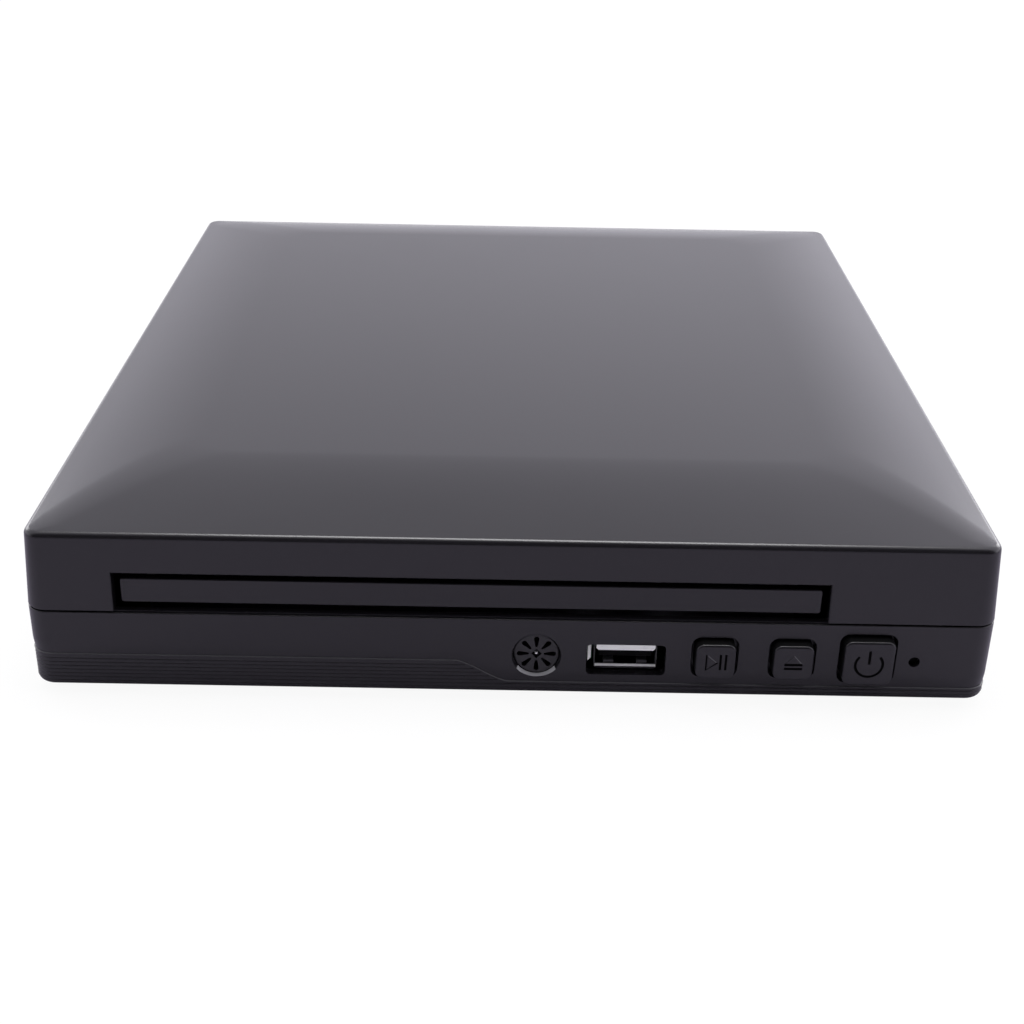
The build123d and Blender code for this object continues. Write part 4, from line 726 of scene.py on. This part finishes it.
def arcIcon(cap, radius, line, gapDegrees, depths, steps=40):
    # a broken ring: an open band round the circle, with its gap at the top
    turn = np.radians(90 + gapDegrees + np.linspace(0, 360 - 2 * gapDegrees, steps))[:, None]
    inner, outer = radius - line / 2, radius + line / 2
    profile = np.array([(inner, depths[0]), (outer, depths[0]), (outer, depths[1]), (inner, depths[1])])
    across, up = profile[:, 0] * np.cos(turn), profile[:, 0] * np.sin(turn)
    return stack(seenFrom(cap, across, up, profile[:, 1])[::-1])


def playIcon(cap, depths):
    # painted shadow: one dark bent line along the raised triangle's upright and its lower side, where shade
    # falls; then the two bars of the sign
    line, thin = buttons["line"] * 0.85, buttons["thinLine"]
    bent = [(-2.1, -2.1), (0.5, -0.2), (0.32, 0.03), (-2.1 + thin, -1.68), (-2.1 + thin, 1.8), (-2.1, 1.8)]
    bars = [barIcon(cap, x, 0, line, buttons["bar"], depths) for x in (0.95, 2.05)]
    return [prism(cap, bent, depths), *bars]


# painted shadow: the upper bar lies along the raised triangle's base, where shade falls; the lower bar is the
# sign's own bar
def ejectIcon(cap, depths):
    return [barIcon(cap, 0, z, buttons["bar"], buttons["line"], depths) for z in (-0.3, -1.25)]


def powerIcon(cap, depths):
    cap = (cap[0], cap[1], cap[2] - 0.2)
    line = buttons["line"]
    return [arcIcon(cap, 2.8, line, 48, depths), barIcon(cap, 0, 1.7, line, 3.2, depths)]


def raisedIcon(cap, corners):
    # a flat shape that stands up a little, with sloped sides
    corners = np.array(corners, float)
    middle = corners.mean(0)
    small = middle + (corners - middle) * buttons["raisedTop"]
    rows = ((small, -buttons["raise"]), (corners, 0), (corners, 0.2))
    return stack([seenFrom(cap, *outline.T, depth) for outline, depth in rows])


def makeButton(key, icon):
    x, z, width, height = fronts[key]
    name, node = key + "Button", key + "_button"
    corner, reach, wallBack = fronts["capCorner"], buttons["reach"], case["wall"] + 0.3
    cap, back = (x, frontY - reach, z), frontY + wallBack
    plunger, end = buttons["plunger"], buttons["plungerEnd"] - wallBack
    profile = roundedFace(buttons["edge"], 6, 0.8, 0.3) + [(0, reach + wallBack)]
    piece = newPiece(name, [plug(cap, outlineOf(width, height, corner, 8), profile)])
    carve(piece, icon(cap, (-0.6, buttons["carving"])))
    skirt = outlineOf(width + buttons["skirt"], height + buttons["skirtRise"], corner, 4)
    rod = [(plunger, 0), (plunger, end - 0.6), (plunger - 0.3, end - 0.5)]
    solids = [
        plug((x, back, z), skirt, buttons["skirtProfile"]),
        lathe((x, back + 0.5, z), rod, 24),
    ]
    if key + "Raised" in buttons:
        solids.append(raisedIcon(cap, buttons[key + "Raised"]))
    addSolids(piece, solids)
    placePiece(piece, node, "button_plastic", node)
    # painted shade: the sides of the cap, down in the gap, get a matt colour darker than its face, standing
    # in for the shade in the gap
    paintLightOrShade(piece, capSidePaintedShade, lambda x, y, z, normal: normal[1] > -0.25)
    # painted shade: the near-black fill of the carved signs stands in for the shade down in their grooves
    shadeFill = newPiece(name + "Sign", icon(cap, (buttons["shadeFill"], buttons["carving"] + 0.01)))
    placePiece(shadeFill, node, "button_plastic", material=signPaintedShade)


makeButton("play", playIcon)
makeButton("eject", ejectIcon)
makeButton("power", powerIcon)
print("front controls made")

# USB socket
usb = {
    "setback": 0.5, "recess": 2.1, "inner": (12.5, 5.1), "depth": 12.6, "outerDepth": 12.9, "sheet": 0.3,
    # bent lips: front corners as (x from the middle, depth behind the wall's face, z)
    "lips": (
        ((-5.6, 1.2, 12.15), (5.6, 1.2, 12.15), (6.05, 1.17, 12.6), (6.05, 1.05, 13.75), (-6.05, 1.05, 13.75),
         (-6.05, 1.17, 12.6)),
        ((-6.3, 1.6, 8.05), (6.3, 1.6, 8.05), (6.3, 2, 8.4), (-6.3, 2, 8.4)),
        ((-7.85, 0.7, 9.9), (-7.15, 1.5, 10.1), (-7.15, 1.5, 13.5), (-7.85, 0.7, 13.75)),
    ),
    "lipThickness": 0.28, "springXs": (-3.4, 3.5), "springWidth": 2.1,
    "spring": ((2.5, 0), (2.7, 1.25), (3.1, 1.45), (4.1, 1.7), (4.8, 0)),
    "tongue": (11.1, 1.84, 0.25, 3), "tongueProfile": ((0.2, 0), (0, 0.2), (0, 11.5)),
    "tongueLift": 0.75, "tongueBack": 2, "block": (12.4, 5, 0.3, 3), "blockBack": 8.8,
    "blockProfile": ((0, 0), (0, 2.6)), "liner": (12.3, 0.12, 0.05, 2), "linerBack": 0.9,
    "linerProfile": ((0, 0), (0, 9)),
}


def makeUsbSocket():
    x, z = fronts["usb"]
    y = frontY + usb["recess"]
    innerW, innerH = (length / 2 for length in usb["inner"])
    sheet = usb["sheet"]
    # growth over the inner size, corner, depth
    grow, corner, depth = np.array([
        (0, 0.4, usb["depth"]), (0, 0.4, 0.15), (0.08, 0.45, 0.03), (0.2, 0.5, 0),
        (sheet, 0.6, 0.1), (sheet, 0.6, usb["outerDepth"]),
    ]).T
    across, up = roundedRings(loopColumns(5), innerW + grow, innerH + grow, corner)
    solids = [stack(seenFrom((x, y, z), across, up, depth[:, None]))]
    for corners in usb["lips"]:
        lip = np.array([(x + cx, frontY + cy, cz) for cx, cy, cz in corners])
        solids.append(stack([lip, lip + (0, usb["lipThickness"], 0)]))
    # two leaf springs stand up from the floor as bent bumps
    floorZ = z - innerH
    spring = np.array(usb["spring"])
    for dx in usb["springXs"]:
        left = np.full(len(spring), x + dx - usb["springWidth"] / 2)
        side = np.stack([left, frontY + spring[:, 0], floorZ + spring[:, 1]], 1)
        solids.append(stack([side, side + (usb["springWidth"], 0, 0)]))
    piece = newPiece("usbShell", solids)
    placePiece(piece, "case", "socket_metal", "usb_shell")
    # painted shade: the sheet more than 2 mm behind the case's front gets a dark colour, standing in for the
    # shade inside the socket
    paintLightOrShade(piece, shadedSheet, lambda x, y, z, normal: y > frontY + 2)
    front = frontY + usb["setback"] + usb["tongueBack"]
    spots = (
        ("tongue", front, z + usb["tongueLift"]), ("block", front + usb["blockBack"], z),
        ("liner", y + usb["linerBack"], floorZ + 0.05),
    )
    tongue = newPiece("usbTongue", [
        plug((x, y, z), outlineOf(*usb[key]), usb[key + "Profile"]) for key, y, z in spots
    ])
    placePiece(tongue, "case", "socket_plastic", "usb_tongue")


makeUsbSocket()

# feet
feet = {"profile": (
    (1, 0.35), (3.6, 0.35), (3.8, 0.3), (4.1, 0.03), (4.4, 0), (5.2, 0), (5.6, 0.12), (5.9, 0.4),
    (6, 0.7), (6, 2.8),
)}
footSolids = [lathe((x, y, 0), feet["profile"], 48, "below") for x, y in bottom["footSpots"]]
placePiece(newPiece("rubberFeet", footSolids), "case", "rubber", "rubber_feet")
print("socket and feet made")

# disc tray
tray = {
    "width": 130, "front": -108.55, "length": 162, "top": 26.9, "thickness": 4, "corner": 3,
    "edge": 0.5, "spindleY": -43.55, "recess": 61, "recessDepth": 2, "ease": 0.35, "floorEase": 0.3,
    "small": 41, "smallDepth": 0.9, "window": 36, "notchX": 60, "notch": (8, 40),
    "rackX": -64.25, "rackFront": -95.75, "rackBottom": 20.3, "rackOverlap": 0.05, "backing": 3.2,
    "teeth": 46, "firstTooth": -85.75 - 2.5 * math.pi, "pitch": math.pi, "toothPlay": 0.18,
    "pressureAngle": 20, "addendum": 0.8, "dedendum": 1.1, "rootSunk": 0.2,
}


def carveTray(piece):
    x, top, thickness, spindleY = cover["slotX"], tray["top"], tray["thickness"], tray["spindleY"]
    spindle = (x, spindleY, top)
    recess, depth, small = tray["recess"], tray["recessDepth"], tray["small"]
    ease, floorEase, smallFloor = tray["ease"], tray["floorEase"], depth + tray["smallDepth"]
    discSeat = [
        (recess + ease + 1, -1), (recess + ease, 0), (recess + ease * 0.3, ease * 0.3), (recess, ease),
        (recess - 0.15, depth - floorEase), (recess - 0.15 - floorEase, depth),
    ]
    smallSeat = [
        (small + 0.25, depth - 1), (small + 0.25, depth), (small, depth + 0.25),
        (small - 0.1, smallFloor - 0.15), (small - 0.3, smallFloor),
    ]
    cutters = [lathe(spindle, discSeat, 160, "above"), lathe(spindle, smallSeat, 128, "above")]
    notchW, notchL = tray["notch"]
    notchEdge = [(-1.3, -1), (-0.3, 0), (0, 0.35), (0.1, depth - 0.3), (0.4, depth)]
    for side in (-1, 1):
        origin = (x + side * tray["notchX"], spindleY, top)
        cutters.append(plug(origin, outlineOf(notchW, notchL, notchW / 2 - 0.01, 10), notchEdge, "above"))
    # the window for the traverse is a half circle that opens to the rear
    half, rear = tray["window"] / 2, tray["front"] + tray["length"] + 5 - spindleY
    turn = sweep(180, 360, 33)
    arc = np.stack([half * np.cos(turn), half * np.sin(turn)], 1)
    window = np.concatenate([arc, [(half, rear), (-half, rear)]])
    cutters.append(prism(spindle, window, (-1, thickness + 1), "above"))
    carve(piece, *([cutter] for cutter in cutters))


def rackSolids():
    # the rack's backing bar, then its straight-sided teeth
    rackTop = tray["top"] - tray["thickness"] + tray["rackOverlap"]
    depths = (0, rackTop - tray["rackBottom"])
    addendum, dedendum, backing = tray["addendum"], tray["dedendum"], tray["backing"]
    half = tray["pitch"] / 4 - tray["toothPlay"]
    flank = math.tan(math.radians(tray["pressureAngle"]))
    root = -dedendum - tray["rootSunk"]
    tooth = [
        (root, -half + root * flank), (addendum, -half + addendum * flank),
        (addendum, half - addendum * flank), (root, half - root * flank),
    ]
    front, rear = tray["rackFront"], tray["front"] + tray["length"]
    bar = rectangle(0, (front + rear) / 2, backing, rear - front)
    solids = [prism((tray["rackX"] - dedendum - backing / 2, 0, rackTop), bar, depths, "above")]
    for k in range(tray["teeth"]):
        origin = (tray["rackX"], tray["firstTooth"] + k * tray["pitch"], rackTop)
        solids.append(prism(origin, tooth, depths, "above"))
    return solids


def makeDiscTray():
    thickness = tray["thickness"]
    origin = (cover["slotX"], tray["front"] + tray["length"] / 2, tray["top"])
    profile = roundedFace(tray["edge"], 4, 0.6, 0.2) + [(0, thickness - 0.2), (0.2, thickness)]
    outline = outlineOf(tray["width"], tray["length"], tray["corner"], 8)
    piece = newPiece("discTray", [plug(origin, outline, profile, "above")])
    carveTray(piece)
    addSolids(piece, rackSolids())
    placePiece(piece, "tray", "tray_plastic", "disc_tray", sharp=30)


makeDiscTray()
print("disc tray made")

# floor, light and camera
stage = {
    "floorHalf": 6, "floorLevel": -0.0001, "floorColour": (0.86, 0.86, 0.86), "cameraWhite": 0.93,
    "glossFront": (0.365, 0.34, 0.405), "glossBack": (0.9, 0.9, 0.93), "backGlow": 0.45,
    "frontY": 0.04, "backY": 0.22,
}


def mapRange(tree, source, *limits):
    # a soft step from one range (two limits) to another (none means 0 to 1)
    labels = ("Value", "From Min", "From Max", "To Min", "To Max")
    inputs = zip(labels, (source, *limits))
    return addNode(tree, "MapRange", inputs, interpolation_type="SMOOTHSTEP")["Result"]


def colourMix(tree, share, first, second):
    return addNode(tree, "Mix", {"Factor": share, "A": first, "B": second}, data_type="RGBA")["Result"]


def makeFloor():
    # pale to the camera; glossy rays find it darker in front of the part than behind it
    half, level = stage["floorHalf"], stage["floorLevel"]
    mesh = bpy.data.meshes.new("floor")
    mesh.from_pydata([(x, y, level) for x, y in rectangle(0, 0, 2 * half, 2 * half)], [], [(0, 1, 2, 3)])
    floor = newObject("floor", mesh)
    material = bpy.data.materials.new("paleFloor")
    material.use_nodes = True
    tree = material.node_tree
    tree.nodes.clear()
    path = addNode(tree, "LightPath")
    y = addNode(tree, "SeparateXYZ", {0: addNode(tree, "TexCoord")["Object"]})["Y"]
    behind = mapRange(tree, y, stage["frontY"], stage["backY"])
    shade = colourMix(tree, behind, (*stage["glossFront"], 1), (*stage["glossBack"], 1))
    seen = colourMix(tree, path["Is Glossy Ray"], (*stage["floorColour"], 1), shade)
    matte, glow = addNode(tree, "BsdfDiffuse", {"Color": seen})[0], addNode(tree, "Emission")[0]
    cameraShare = mathNode(tree, "MULTIPLY", path["Is Camera Ray"], stage["cameraWhite"])
    glossShare = mathNode(tree, "MULTIPLY", path["Is Glossy Ray"], behind)
    glossPart = mathNode(tree, "MULTIPLY", glossShare, stage["backGlow"])
    share = mathNode(tree, "MAXIMUM", cameraShare, glossPart)
    addNode(tree, "OutputMaterial", {"Surface": addNode(tree, "MixShader", {0: share, 1: matte, 2: glow})[0]})
    mesh.materials.append(material)


# ramps over the ray's direction: from, to, and the strength at both ends
room = {
    "colour": (1, 0.978, 1.085, 1), "towards": (-0.15, -0.6, 1, 0.02),
    "left": (-0.16, -0.45, 0, 0.34), "right": (0.16, 0.45, 0, 0.75), "tilt": (0.12, -0.2, 0, -0.11),
    "low": (0.42, 0.3, 1.03, 1.23), "high": (0.46, 0.64, 0, -0.13),
}


def makeWorld():
    # a white room: darker on the camera's side, brighter low down and out to both sides
    world = bpy.data.worlds.new("studio")
    bpy.context.scene.world = world
    world.use_nodes = True
    tree = world.node_tree
    x, y, z = addNode(tree, "SeparateXYZ", {0: addNode(tree, "TexCoord")["Generated"]})
    towards = mapRange(tree, y, *room["towards"])
    left, right, tilt = (mapRange(tree, x, *room[key]) for key in ("left", "right", "tilt"))
    low, high = (mapRange(tree, z, *room[key]) for key in ("low", "high"))
    sides = mathNode(tree, "ADD", mathNode(tree, "ADD", left, right), tilt)
    whole = mathNode(tree, "ADD", sides, mathNode(tree, "ADD", low, high))
    lit = tree.nodes["Background"]
    feed(tree, lit, {"Strength": mathNode(tree, "MULTIPLY", whole, towards), "Color": room["colour"]})
    # the camera sees a plain white background, whatever lights the part
    white = addNode(tree, "Background", {"Color": (1, 1, 1, 1)})[0]
    cameraRay = addNode(tree, "LightPath")["Is Camera Ray"]
    mix = addNode(tree, "MixShader", {0: cameraRay, 1: lit.outputs[0], 2: white})[0]
    feed(tree, tree.nodes["World Output"], {"Surface": mix})


def areaLight(name, location, target, size, power):
    lamp = bpy.data.lights.new(name, "AREA")
    lamp.shape, lamp.size, lamp.size_y, lamp.energy = "RECTANGLE", size[0], size[1], power
    holder = newObject(name, lamp)
    holder.location = location
    holder.rotation_euler = (Vector(target) - Vector(location)).to_track_quat("-Z", "Y").to_euler()


photoView = {
    "place": (-0.00136, -0.38576, 0.1839), "down": 27.012, "yaw": 0.208, "roll": 1.097, "lens": 55.268,
    "sensor": 36, "clip": (0.01, 50),
}


def makeCamera():
    down, yaw, roll = (math.radians(photoView[key]) for key in ("down", "yaw", "roll"))
    forward = Vector((math.sin(yaw) * math.cos(down), math.cos(yaw) * math.cos(down), -math.sin(down)))
    right = Vector((math.cos(yaw), -math.sin(yaw), 0))
    up = right.cross(forward)
    acrossAxis = math.cos(roll) * right + math.sin(roll) * up
    upAxis = -math.sin(roll) * right + math.cos(roll) * up
    turned = Matrix((acrossAxis, upAxis, -forward)).transposed().to_4x4()
    data = bpy.data.cameras.new("photoCamera")
    data.lens, data.sensor_width = photoView["lens"], photoView["sensor"]
    data.clip_start, data.clip_end = photoView["clip"]
    camera = newObject("photoCamera", data)
    camera.matrix_world = Matrix.Translation(photoView["place"]) @ turned
    bpy.context.scene.camera = camera


makeFloor()
makeWorld()
areaLight("topSoftbox", (0, 0.05, 0.9), (0, 0, 0), (0.5, 0.35), 6)
areaLight("leftSoftbox", (-0.9, 0.75, 0.45), (0, 0, 0.03), (0.6, 0.5), 4)
areaLight("rightSoftbox", (0.9, 0.75, 0.45), (0, 0, 0.03), (0.6, 0.5), 5)
makeCamera()
bpy.context.scene.view_settings.view_transform = "Standard"
print("stage set")
